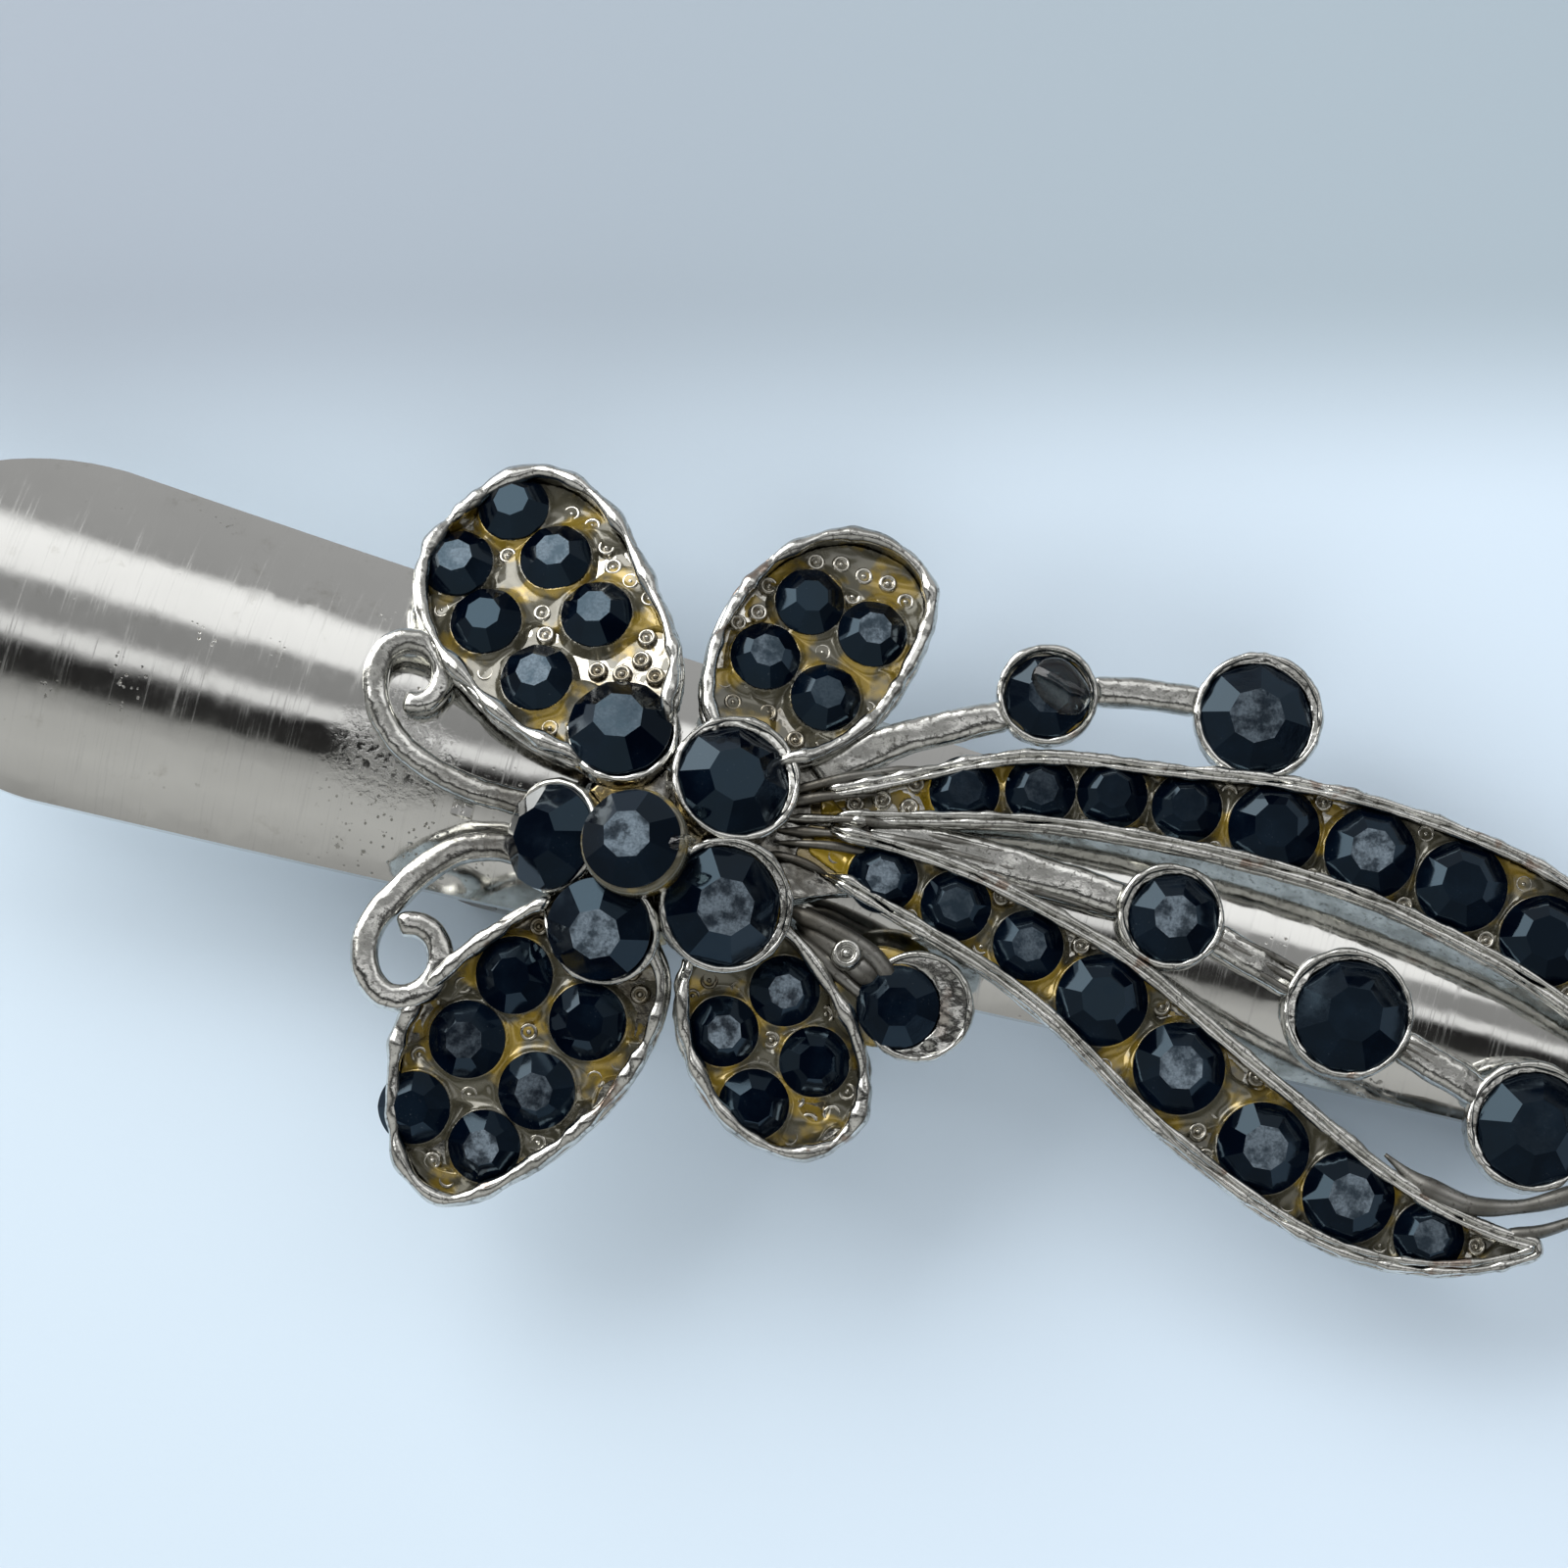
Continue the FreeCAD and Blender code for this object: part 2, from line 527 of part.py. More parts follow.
def solder_pads(plate, above):
    """Two spots of solder that hold the casting on the plate's ridge."""
    pads = {}
    for name, x, y, radius, bottom, top in (("solder_rear", 8.0, -0.8, 1.6, 7.65, 8.8),
                                            ("solder_front", 29.4, 0.2, 1.4, 6.15, 7.1)):
        pad = Part.makeCylinder(radius, top - bottom, Vector(x, y, bottom))
        pads[name] = carve(pad, [plate] + above)
    return pads


# ---- the whole clip ----
def build():
    nodes = {
        "top_plate": top_plate(),
        "hinge_bracket": hinge_bracket(),
        "lower_jaw": lower_jaw(),
        "hinge_pin": hinge_pin(),
        "torsion_spring": torsion_spring(),
    }
    stones, cups = settings()
    metals, films, gems = trays(stones, cups)
    loose = [gem for group in gems.values() for gem in group.Solids]
    placed = list(stones.values()) + list(cups.values()) + loose
    placed += list(metals.values()) + list(films.values())
    bars = {}
    for name, shape in {**antennae(), **stems()}.items():
        bars[name] = carve(shape, placed + list(bars.values()) + [nodes["top_plate"]])
    hub = carve(flower_hub(), placed + list(bars.values()) + [nodes["top_plate"]])
    pads = solder_pads(nodes["top_plate"], [hub] + list(bars.values()) + list(cups.values()))
    for group in (cups, metals, films, bars, {"flower_hub": hub}, pads, stones, gems):
        nodes.update(group)
    return nodes


def middle_of_footprint(nodes):
    xs, ys = [], []
    for shape in nodes.values():
        points = shape.tessellate(0.01)[0]
        xs += [p.x for p in points]
        ys += [p.y for p in points]
    return Vector(-(min(xs) + max(xs)) / 2, -(min(ys) + max(ys)) / 2, 0)


def export(nodes):
    os.makedirs("parts", exist_ok=True)
    shift = middle_of_footprint(nodes)
    print("shift", [round(v, 3) for v in shift])
    for name, shape in nodes.items():
        shape.translate(shift)
        shape.exportStep("parts/" + name + ".step")
        print(name, len(shape.Solids), shape.isValid(), round(shape.Volume, 2))


export(build())
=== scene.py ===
import math

import bmesh
import bpy
import numpy as np
from mathutils import Matrix, Vector, kdtree
from mathutils.bvhtree import BVHTree


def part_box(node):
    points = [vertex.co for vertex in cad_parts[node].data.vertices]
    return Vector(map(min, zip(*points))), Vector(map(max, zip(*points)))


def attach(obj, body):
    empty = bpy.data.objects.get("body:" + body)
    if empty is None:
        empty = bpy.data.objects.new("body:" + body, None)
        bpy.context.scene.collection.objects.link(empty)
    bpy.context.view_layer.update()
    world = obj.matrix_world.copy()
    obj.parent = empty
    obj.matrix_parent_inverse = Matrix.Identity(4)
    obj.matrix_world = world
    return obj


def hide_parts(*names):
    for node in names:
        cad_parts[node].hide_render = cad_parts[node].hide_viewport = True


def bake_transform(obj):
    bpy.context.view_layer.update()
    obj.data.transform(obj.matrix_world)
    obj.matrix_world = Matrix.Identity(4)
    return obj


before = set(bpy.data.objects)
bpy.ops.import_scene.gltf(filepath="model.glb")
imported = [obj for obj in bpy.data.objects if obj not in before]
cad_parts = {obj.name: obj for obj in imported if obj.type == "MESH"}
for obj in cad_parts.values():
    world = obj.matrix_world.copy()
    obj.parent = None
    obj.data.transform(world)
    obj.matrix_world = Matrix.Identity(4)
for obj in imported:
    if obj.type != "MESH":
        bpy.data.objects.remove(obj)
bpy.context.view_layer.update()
rng = np.random.default_rng(7)

# Lengths in this script are millimetres; meshes are scaled by MM when they are made.
MM = 0.001
VOXEL = 0.085                  # detail size of the cast pieces
RIBBON_VOXEL = 0.105           # and of the ribbons, which are the largest
STEM_HEIGHT = 7.6              # the plane of the stems above zero, at STEM_MIDDLE from the hinge
STEM_MIDDLE = 30.0
STEM_FALL = 6                  # degrees that the plane falls towards the tip
MOST_STUDS = 18                # in one tray
STUD_MARGIN = 0.2              # between a stud's middle and a stone or the rim
UPPER = "upper"

# Rails round a rim, as (distance in from its edge, drop from its top, radius).
RIBBON_RAILS = [(0.10, 0.08, 0.19), (0.42, -0.02, 0.15), (0.0, 0.62, 0.13)]
WING_RAILS = [(0.24, 0.06, 0.31), (0.04, 0.70, 0.16)]
CUP_RAILS = [(0.13, 0.02, 0.16)]
STONE_NOTCH = 3.4              # longest gap that a stone cuts into a rim
NECK_REACH = 8.7               # the ribbons' rails start this far from the flower's middle

# How much of each tray the glue covers.
GLUE_COVER = {"wing_upper_left": 0.62, "wing_lower_left": 0.5, "wing_upper_right": 0.55,
              "wing_lower_right": 0.6, "ribbon_upper": 0.5, "ribbon_lower": 0.7}

# The torsion spring: its wire and coil radii, and half the distance between its legs.
WIRE_R = 0.4
COIL_R = 1.45
COIL_TURNS = 5.5
LEG_Y = 2.0

# The clip's own place in the frame: the hinge pin's middle, and the flower's middle from it.
pin_low, pin_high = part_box("hinge_pin")
HINGE = np.array((pin_low + pin_high) / 2) / MM
FLOWER = np.array([7.1, -2.8, 5.5])

NODES = sorted(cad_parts)
STONES = [n for n in NODES if n.startswith("stone")]
FILMS = [n for n in NODES if n.startswith("adhesive")]
TRAYS = [n.replace("adhesive_", "") for n in FILMS]
CUPS = [n for n in NODES if n.startswith("cup")]
BARS = [n for n in NODES if n.startswith(("antenna", "stem"))]


# ---- mesh reading
def taken(bm):
    """A bmesh's points and faces; the bmesh is freed."""
    points = np.array([v.co[:] for v in bm.verts])
    faces = [[v.index for v in f.verts] for f in bm.faces]
    bm.free()
    return points, faces


def cad_mesh(name):
    """Vertices in millimetres and triangles of a CAD node, welded."""
    bm = bmesh.new()
    bm.from_mesh(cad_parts[name].data)
    bmesh.ops.remove_doubles(bm, verts=bm.verts, dist=2e-6)
    bmesh.ops.triangulate(bm, faces=bm.faces)
    points, faces = taken(bm)
    return points / MM, np.array(faces)


def face_facts(points, faces):
    """Unit normals, areas and middles of triangles."""
    a, b, c = (points[faces[:, i]] for i in range(3))
    cross = np.cross(b - a, c - a)
    size = np.linalg.norm(cross, axis=1)
    return cross / np.maximum(size, 1e-12)[:, None], size / 2, (a + b + c) / 3


def islands(points, faces):
    """The separate solids in one mesh."""
    label = np.arange(len(points))
    while True:
        low = label[faces].min(axis=1)
        new = label.copy()
        for i in range(3):
            np.minimum.at(new, faces[:, i], low)
        new = new[new]
        if (new == label).all():
            break
        label = new
    for one in np.unique(label[faces[:, 0]]):
        chosen = faces[label[faces[:, 0]] == one]
        used, where = np.unique(chosen, return_inverse=True)
        yield points[used], where.reshape(-1, 3)


def flat_axes(points, faces):
    """Axes of a piece with a flat underside: two in its plane and its upward normal."""
    normals, areas, _ = face_facts(points, faces)
    keys, group = np.unique(np.round(normals, 2), axis=0, return_inverse=True)
    total = np.bincount(group.ravel(), weights=areas, minlength=len(keys))
    best = group.ravel() == total.argmax()
    up = -(normals[best] * areas[best][:, None]).sum(axis=0)
    up /= np.linalg.norm(up)
    if up[2] < 0:
        up = -up
    side = np.cross([0.0, 1.0, 0.0], up)
    side /= np.linalg.norm(side)
    return np.array([side, np.cross(up, side), up])


def spun(turn):
    """Axes turned about Z."""
    return np.array([[math.cos(turn), math.sin(turn), 0], [-math.sin(turn), math.cos(turn), 0], [0, 0, 1]])


# ---- mesh making
def add_object(name, data):
    """A new object in the scene."""
    ob = bpy.data.objects.new(name, data)
    bpy.context.scene.collection.objects.link(ob)
    return ob


def baked_mesh(ob):
    """A new mesh of an object's modifiers or bevelled curve."""
    depsgraph = bpy.context.evaluated_depsgraph_get()
    depsgraph.update()
    return bpy.data.meshes.new_from_object(ob.evaluated_get(depsgraph))


def smooth_mesh(name, points, faces, material, attributes=None):
    """A new object from points in millimetres; attributes maps names to values."""
    me = bpy.data.meshes.new(name)
    me.from_pydata((np.asarray(points) * MM).tolist(), [], [list(f) for f in faces])
    me.materials.append(material)
    me.polygons.foreach_set("use_smooth", np.ones(len(me.polygons), dtype=bool))
    me.update()
    ob = add_object(name, me)
    for key, values in (attributes or {}).items():
        attribute(ob, key, values)
    return ob


def with_modifiers(ob, *specs):
    """Bakes modifiers, given as (type, {property: value}), into the object's mesh."""
    for kind, settings in specs:
        modifier = ob.modifiers.new(kind.lower(), kind)
        for key, value in settings.items():
            setattr(modifier, key, value)
    baked = baked_mesh(ob)
    ob.modifiers.clear()
    old = ob.data
    ob.data = baked
    bpy.data.meshes.remove(old)
    return ob


def coordinates(ob):
    co = np.empty(len(ob.data.vertices) * 3, dtype=np.float32)
    ob.data.vertices.foreach_get("co", co)
    return co.reshape(-1, 3).astype(float) / MM


def set_coordinates(ob, points):
    ob.data.vertices.foreach_set("co", (points * MM).astype(np.float32).ravel())
    ob.data.update()


def vertex_normals(ob):
    values = np.empty(len(ob.data.vertices) * 3, dtype=np.float32)
    ob.data.vertex_normals.foreach_get("vector", values)
    return values.reshape(-1, 3).astype(float)


def attribute(ob, key, values):
    """Sets an attribute of the vertices, to one value each or one for all."""
    layer = ob.data.attributes.get(key) or ob.data.attributes.new(key, "FLOAT", "POINT")
    layer.data.foreach_set("value", np.full(len(ob.data.vertices), values, dtype=np.float32))


def wavy(points, scale, seed, octaves=3, fade=0.35):
    """Smooth pseudo-random values, from about -1 to 1, as a sum of turned sine waves."""
    local = np.random.default_rng(seed)
    total = np.zeros(len(points))
    weight = 0.0
    for octave in range(octaves):
        for _ in range(6):
            direction = local.normal(size=3)
            direction /= np.linalg.norm(direction)
            wave = 2 * math.pi / (scale / 2 ** octave) * local.uniform(0.6, 1.4)
            total += np.sin(points @ direction * wave + local.uniform(0, 6.28)) * fade ** octave
        weight += 1.75 * fade ** octave
    return total / weight


def tube_faces(rows, sides, closed=False):
    """The faces between rings of points; an open tube gets a cap at each end."""
    faces = []
    for i in range(rows if closed else rows - 1):
        first, following = i * sides, (i + 1) % rows * sides
        for k in range(sides):
            n = (k + 1) % sides
            faces.append([first + k, first + n, following + n, following + k])
    if not closed:
        faces.append(list(range(sides - 1, -1, -1)))
        faces.append([(rows - 1) * sides + k for k in range(sides)])
    return faces


def rings(centre, across, upward, radius, sides=10):
    """Points round each place of a path, at its radius in the two given directions."""
    points = []
    for k in range(sides):
        angle = 2 * math.pi * k / sides
        points.append(centre + (across * math.cos(angle) + upward * math.sin(angle)) * radius[:, None])
    return np.stack(points, axis=1).reshape(-1, 3)


def turned(profile, sides=40):
    """Points and faces of a profile of (radius, height) turned about Z, closed at both ends."""
    points = [(r * math.cos(2 * math.pi * k / sides), r * math.sin(2 * math.pi * k / sides), z)
              for r, z in profile for k in range(sides)]
    return np.array(points), tube_faces(len(profile), sides)


def unit_rows(rows):
    return rows / np.linalg.norm(rows, axis=1)[:, None]


def strides(run):
    """The distances between neighbouring points."""
    return np.linalg.norm(np.diff(run, axis=0), axis=1)


def join(name, parts):
    """One object out of several, keeping their materials and attributes."""
    for ob in bpy.context.selected_objects:
        ob.select_set(False)
    for ob in parts:
        ob.select_set(True)
    bpy.context.view_layer.objects.active = parts[0]
    if len(parts) > 1:
        bpy.ops.object.join()
    parts[0].name = name
    parts[0].data.name = name
    return parts[0]


# ---- materials
class Nodes:
    """Short forms for building one procedural material, or the world."""

    def __init__(self, name, owner=None, where="Object"):
        self.material = owner or bpy.data.materials.new(name)
        self.material.use_nodes = True
        self.tree = self.material.node_tree
        self.shader = next(n for n in self.tree.nodes if n.type in ("BSDF_PRINCIPLED", "BACKGROUND"))
        self.coords = self.tree.nodes.new("ShaderNodeTexCoord").outputs[where]

    def set(self, **values):
        for key, value in values.items():
            self.shader.inputs[key.replace("_", " ")].default_value = value

    def link(self, output, key):
        self.tree.links.new(output, self.shader.inputs[key])

    def node(self, kind, values=None, **inputs):
        new = self.tree.nodes.new(kind)
        for key, value in (values or {}).items():
            setattr(new, key, value)
        for key, value in inputs.items():
            socket = new.inputs[int(key[1:])] if key[0] == "i" and key[1:].isdigit() else new.inputs[key]
            if isinstance(value, bpy.types.NodeSocket):
                self.tree.links.new(value, socket)
            else:
                socket.default_value = value
        return new

    def noise(self, size, detail=3.0, rough=0.55, stretch=None, where=None):
        """Noise from 0 to 1 whose blotches are about size millimetres across."""
        where = where or self.coords
        if stretch:
            where = self.node("ShaderNodeMapping", Vector=where, Scale=stretch).outputs[0]
        return self.node("ShaderNodeTexNoise", Vector=where, Scale=1 / (size * MM), Detail=detail,
                         Roughness=rough).outputs["Fac"]

    def cells(self, size, feature="F1"):
        return self.node("ShaderNodeTexVoronoi", {"feature": feature}, Vector=self.coords,
                         Scale=1 / (size * MM)).outputs["Distance"]

    def ramp(self, value, low, high, first=0.0, last=1.0):
        """value mapped smoothly from low..high to first..last."""
        return self.node("ShaderNodeMapRange", {"interpolation_type": "SMOOTHSTEP"}, i0=value, i1=low,
                         i2=high, i3=first, i4=last).outputs[0]

    def math(self, operation, a, b=0.0):
        return self.node("ShaderNodeMath", {"operation": operation}, i0=a, i1=b).outputs[0]

    def times(self, a, b):
        return self.math("MULTIPLY", a, b)

    def plus(self, base, mask, amount):
        """base, raised by amount where the mask is 1."""
        return self.math("ADD", base, self.times(mask, amount))

    def mix(self, share, a, b):
        new = self.tree.nodes.new("ShaderNodeMix")
        new.data_type = "RGBA"
        for key, value in ((0, share), (6, a), (7, b)):
            if isinstance(value, bpy.types.NodeSocket):
                self.tree.links.new(value, new.inputs[key])
            else:
                new.inputs[key].default_value = (*value, 1.0) if key else value
        return new.outputs[2]

    def tint(self, base, mask, amount, colour):
        """base, turned towards colour by amount where the mask is 1."""
        return self.mix(self.times(mask, amount), base, colour)

    def dot(self, axis):
        return self.node("ShaderNodeVectorMath", {"operation": "DOT_PRODUCT"}, i0=self.coords,
                         i1=tuple(axis)).outputs["Value"]

    def near(self, middle, inner, outer):
        """1 within inner millimetres of a place, falling to 0 at outer."""
        away = self.node("ShaderNodeVectorMath", {"operation": "DISTANCE"}, i0=self.coords,
                         i1=tuple(float(c) * MM for c in middle)).outputs["Value"]
        return self.ramp(away, inner * MM, outer * MM, 1.0, 0.0)

    def read(self, name):
        return self.node("ShaderNodeAttribute", {"attribute_name": name}).outputs["Fac"]

    def bump(self, height, distance, strength=1.0, normal=None):
        new = self.node("ShaderNodeBump", Height=height, Distance=distance * MM, Strength=strength)
        if normal:
            self.tree.links.new(normal, new.inputs["Normal"])
        return new.outputs[0]


def nickel_material():
    """Bright pressed sheet: brushed marks across the clip, faint haze, pits, specks and stains."""
    m = Nodes("nickel_plate")
    haze = m.noise(5.0, 4.0)
    fine = m.noise(0.7, 4.0)
    smudge = m.noise(1.6, 5.0, 0.65)
    lines = m.noise(0.10, 2.0, stretch=(1.0, 0.03, 0.03))
    strokes = m.noise(0.5, 3.0, stretch=(1.0, 0.10, 0.10))
    brushed = m.times(m.ramp(lines, 0.48, 0.70), m.ramp(strokes, 0.40, 0.62))
    pitted = m.near(HINGE + [-3.6, -4.3, 3.3], 1.0, 5.5)
    frosted = m.near(HINGE + [-4.6, -1.8, 4.2], 0.8, 3.4)
    where = m.math("MAXIMUM", m.ramp(m.noise(3.0, 3.0), 0.58, 0.68), m.times(pitted, 0.9))
    spots = m.math("MAXIMUM", m.ramp(m.cells(0.42), 0.20, 0.08), m.ramp(m.noise(0.5, 4.0), 0.64, 0.70))
    specks = m.times(spots, where)
    frost = m.times(frosted, m.ramp(m.noise(0.3, 4.0), 0.40, 0.62))
    stain = m.ramp(smudge, 0.58, 0.78)
    base = m.mix(haze, (0.60, 0.60, 0.58), (0.70, 0.70, 0.68))
    base = m.tint(base, stain, 0.4, (0.36, 0.35, 0.30))
    base = m.tint(base, brushed, 0.10, (0.45, 0.45, 0.45))
    base = m.tint(base, specks, 0.75, (0.10, 0.09, 0.06))
    m.link(base, "Base Color")
    rough = m.plus(m.ramp(haze, 0.35, 0.75, 0.055, 0.12), brushed, 0.14)
    rough = m.plus(rough, specks, 0.3)
    rough = m.plus(rough, frost, 0.25)
    m.link(m.math("ADD", rough, m.ramp(fine, 0.4, 0.75, 0.0, 0.05)), "Roughness")
    normal = m.bump(brushed, 0.0006, 0.35)
    normal = m.bump(frost, 0.02, 0.5, normal)
    normal = m.bump(m.math("SUBTRACT", 1.0, specks), 0.02, 0.5, normal)
    normal = m.bump(smudge, 0.004, 0.5, normal)
    m.link(m.bump(haze, 0.03, 0.3, normal), "Normal")
    m.set(Metallic=1.0)
    return m.material


def steel_material(name, shade, rough):
    """Plain rolled steel of the hidden pieces."""
    m = Nodes(name)
    cloud = m.noise(1.6, 4.0)
    grain = m.noise(0.12, 2.0, stretch=(0.08, 1.0, 1.0))
    dark = tuple(0.72 * c for c in shade)
    m.link(m.mix(m.ramp(cloud, 0.35, 0.7), shade, dark), "Base Color")
    m.link(m.plus(m.ramp(cloud, 0.3, 0.8, rough, rough + 0.15), grain, 0.12), "Roughness")
    m.link(m.bump(grain, 0.006, 0.6), "Normal")
    m.set(Metallic=1.0)
    return m.material


def cast_material():
    """Plated casting: bright worn ridges, dull grey hollows, rough flash, copper wear, amber glue."""
    m = Nodes("cast_metal")
    cloud = m.noise(1.6, 4.0)
    grit = m.noise(0.22, 4.0, 0.65)
    lumps = m.noise(0.6, 3.0)
    edge = m.node("ShaderNodeNewGeometry").outputs["Pointiness"]
    hollow = m.ramp(edge, 0.495, 0.43)
    rail = m.read("rail")
    base = m.mix(m.ramp(cloud, 0.35, 0.7), (0.70, 0.70, 0.67), (0.42, 0.42, 0.395))
    base = m.tint(base, hollow, 0.85, (0.05, 0.045, 0.035))
    base = m.tint(base, m.ramp(grit, 0.54, 0.68), 0.8, (0.10, 0.095, 0.085))
    copper = m.times(m.ramp(m.noise(2.2, 5.0), 0.62, 0.68), m.ramp(rail, 0.4, 0.8))
    base = m.tint(base, copper, 0.6, (0.22, 0.12, 0.07))
    # Darker round the flower's middle and away from the rails, falling off from 6 to 11 mm.
    dark_near_flower = m.times(m.near(HINGE + FLOWER, 6.0, 11.0), m.ramp(rail, 0.5, 0.2))
    dark_near_flower = m.times(dark_near_flower, m.ramp(lumps, 0.35, 0.6, 0.45, 0.9))
    base = m.mix(dark_near_flower, base, (0.13, 0.12, 0.10))
    glue = m.read("glue")
    base = m.tint(base, glue, 0.8, (0.30, 0.21, 0.05))
    m.link(base, "Base Color")
    rough = m.plus(m.ramp(cloud, 0.3, 0.75, 0.08, 0.20), hollow, 0.35)
    m.link(m.math("ADD", rough, m.ramp(grit, 0.52, 0.8, 0.0, 0.25)), "Roughness")
    normal = m.bump(lumps, 0.02, 0.35)
    m.link(m.bump(grit, 0.02, 0.6, normal), "Normal")
    m.set(Metallic=1.0)
    return m.material


def stone_material():
    """Black faceted stone whose bevelled edges are tinted lighter, partly rubbed wear and partly painted
    highlight, and some scuffed, frosted tables.
    """
    m = Nodes("black_stone")
    seed = m.read("seed")
    table = m.read("table")
    ridge = m.read("ridge")
    shifted = m.node("ShaderNodeVectorMath", {"operation": "ADD"}, i0=m.coords,
                     i1=m.node("ShaderNodeCombineXYZ", X=seed, Y=seed).outputs[0]).outputs[0]
    scuff = m.noise(0.8, 5.0, 0.6, where=shifted)
    fine = m.noise(0.12, 3.0, 0.7, where=shifted)
    film = m.noise(2.0, 4.0, where=shifted)
    luck = m.math("FRACT", m.times(seed, 37.0))
    worn = m.times(m.ramp(scuff, 0.36, 0.60, 0.15, 1.0), m.ramp(table, 0.5, 0.9))
    worn = m.times(worn, m.ramp(luck, 0.35, 0.9, 0.0, 0.9))
    dust = m.times(m.ramp(fine, 0.62, 0.8), m.ramp(film, 0.45, 0.7, 0.0, 0.5))
    base = m.mix(m.ramp(film, 0.4, 0.7), (0.0003, 0.0012, 0.0040), (0.0008, 0.0030, 0.0080))
    base = m.tint(base, worn, m.ramp(fine, 0.25, 0.7, 0.35, 1.0), (0.17, 0.21, 0.25))
    base = m.mix(dust, base, (0.10, 0.11, 0.12))
    # Painted highlight: the bevelled facet edges are tinted lighter, patchy with the scuff noise like
    # rubbed wear.
    base = m.tint(base, ridge, m.ramp(scuff, 0.35, 0.7, 0.05, 0.6), (0.12, 0.14, 0.16))
    m.link(base, "Base Color")
    rough = m.plus(m.ramp(film, 0.4, 0.7, 0.05, 0.13), worn, 0.3)
    m.link(m.plus(rough, table, 0.05), "Roughness")
    m.link(m.bump(scuff, 0.006, 0.3), "Normal")
    m.set(IOR=1.55, Specular_IOR_Level=0.34, Specular_Tint=(0.50, 0.78, 1.0, 1.0))
    return m.material


def glue_material():
    """Yellowed clear glue lying on bright metal: honey coloured where thick, olive where thin."""
    m = Nodes("adhesive")
    cloud = m.noise(2.2, 3.0)
    fine = m.noise(0.5, 3.0)
    base = m.mix(m.ramp(cloud, 0.47, 0.60), (0.085, 0.08, 0.055), (0.30, 0.21, 0.03))
    base = m.mix(m.ramp(fine, 0.55, 0.75, 0.0, 0.6), base, (0.06, 0.05, 0.02))
    lower_root = m.near(HINGE + [14.3, -1.4, 4.0], 1.8, 3.6)
    upper_root = m.near(HINGE + [18.0, 2.9, 4.0], 0.9, 2.2)
    roots = m.math("MAXIMUM", lower_root, upper_root)
    base = m.tint(base, roots, 0.85, (0.44, 0.30, 0.015))
    m.link(base, "Base Color")
    m.link(m.ramp(fine, 0.35, 0.75, 0.15, 0.35), "Roughness")
    m.link(m.bump(fine, 0.02, 0.4), "Normal")
    m.set(Metallic=0.4, Coat_Weight=1.0, Coat_Roughness=0.05, IOR=1.5)
    return m.material


def clear_material():
    """Clear set glue, a little yellow."""
    m = Nodes("clear_glue")
    m.link(m.mix(m.noise(0.8, 3.0), (0.93, 0.92, 0.84), (0.80, 0.80, 0.70)), "Base Color")
    m.link(m.bump(m.noise(0.5, 3.0), 0.02, 0.3), "Normal")
    m.set(Transmission_Weight=1.0, Roughness=0.06, IOR=1.48)
    return m.material


NICKEL = nickel_material()
STEEL = steel_material("clip_steel", (0.60, 0.59, 0.57), 0.25)
PIN = steel_material("pin_steel", (0.20, 0.18, 0.155), 0.4)
WIRE = steel_material("spring_wire", (0.42, 0.42, 0.43), 0.3)
SOLDER = steel_material("solder", (0.5, 0.5, 0.5), 0.45)
CAST = cast_material()
STONE = stone_material()
GLUE = glue_material()
CLEAR = clear_material()


# ---- stones
def stone_shape(girdle, height, table):
    """A faceted stone of diameter 1: points, faces and each face's kind."""
    bm = bmesh.new()
    arc = 9
    base, girdles = [], []
    inner = table / 2
    slope = (height - girdle) / (0.5 - inner)
    steps = 8 * (arc - 1)
    for i in range(steps):
        angle = 2 * math.pi * i / steps
        off = (angle + math.pi / 8) % (math.pi / 4) - math.pi / 8
        rise = girdle + slope * (0.5 - 0.5 * math.cos(off))
        x, y = 0.5 * math.cos(angle), 0.5 * math.sin(angle)
        base.append(bm.verts.new((x, y, 0)))
        girdles.append(bm.verts.new((x, y, rise)))
    corners = []
    for k in range(8):
        angle = math.pi / 8 + k * math.pi / 4
        r = inner / math.cos(math.pi / 8)
        corners.append(bm.verts.new((r * math.cos(angle), r * math.sin(angle), height)))
    bm.faces.new(list(reversed(base)))
    for i in range(steps):
        j = (i + 1) % steps
        bm.faces.new((base[i], base[j], girdles[j], girdles[i]))
    half = (arc - 1) // 2
    for k in range(8):
        around = [girdles[(k * (arc - 1) + i - half) % steps] for i in range(arc)]
        bm.faces.new(around + [corners[k], corners[k - 1]])
    bm.faces.new(corners)
    flat = [e for e in bm.edges if len(e.link_faces) == 2 and e.calc_face_angle(0) > 0.25]
    bmesh.ops.bevel(bm, geom=flat, offset=0.011, segments=2, profile=0.5, affect="EDGES",
                    clamp_overlap=True)
    bm.normal_update()
    kinds = []
    for f in bm.faces:
        if f.normal.z > 0.995 and f.calc_area() > 0.05:
            kinds.append("table")
        elif f.calc_area() > 0.02:
            kinds.append("facet")
        else:
            kinds.append("side" if abs(f.normal.z) < 0.2 else "ridge")
    return (*taken(bm), kinds)


def read_stone(points, faces):
    """A CAD stone's diameter, height, table size, and its place as a matrix and a base point."""
    axes = flat_axes(points, faces)
    local = points @ axes.T
    low = local.min(axis=0)
    high = local.max(axis=0)
    middle = (low + high) / 2
    height = high[2] - low[2]
    top = local[local[:, 2] > high[2] - 1e-3 * height]
    reach = np.linalg.norm(top[:, :2] - middle[:2], axis=1)
    corner = top[reach.argmax()] - middle
    table = 2 * reach.max() * math.cos(math.pi / 8)
    turn = math.atan2(corner[1], corner[0]) - math.pi / 8
    base = np.array([middle[0], middle[1], low[2]]) @ axes
    return high[0] - low[0], height, table, spun(turn) @ axes, base


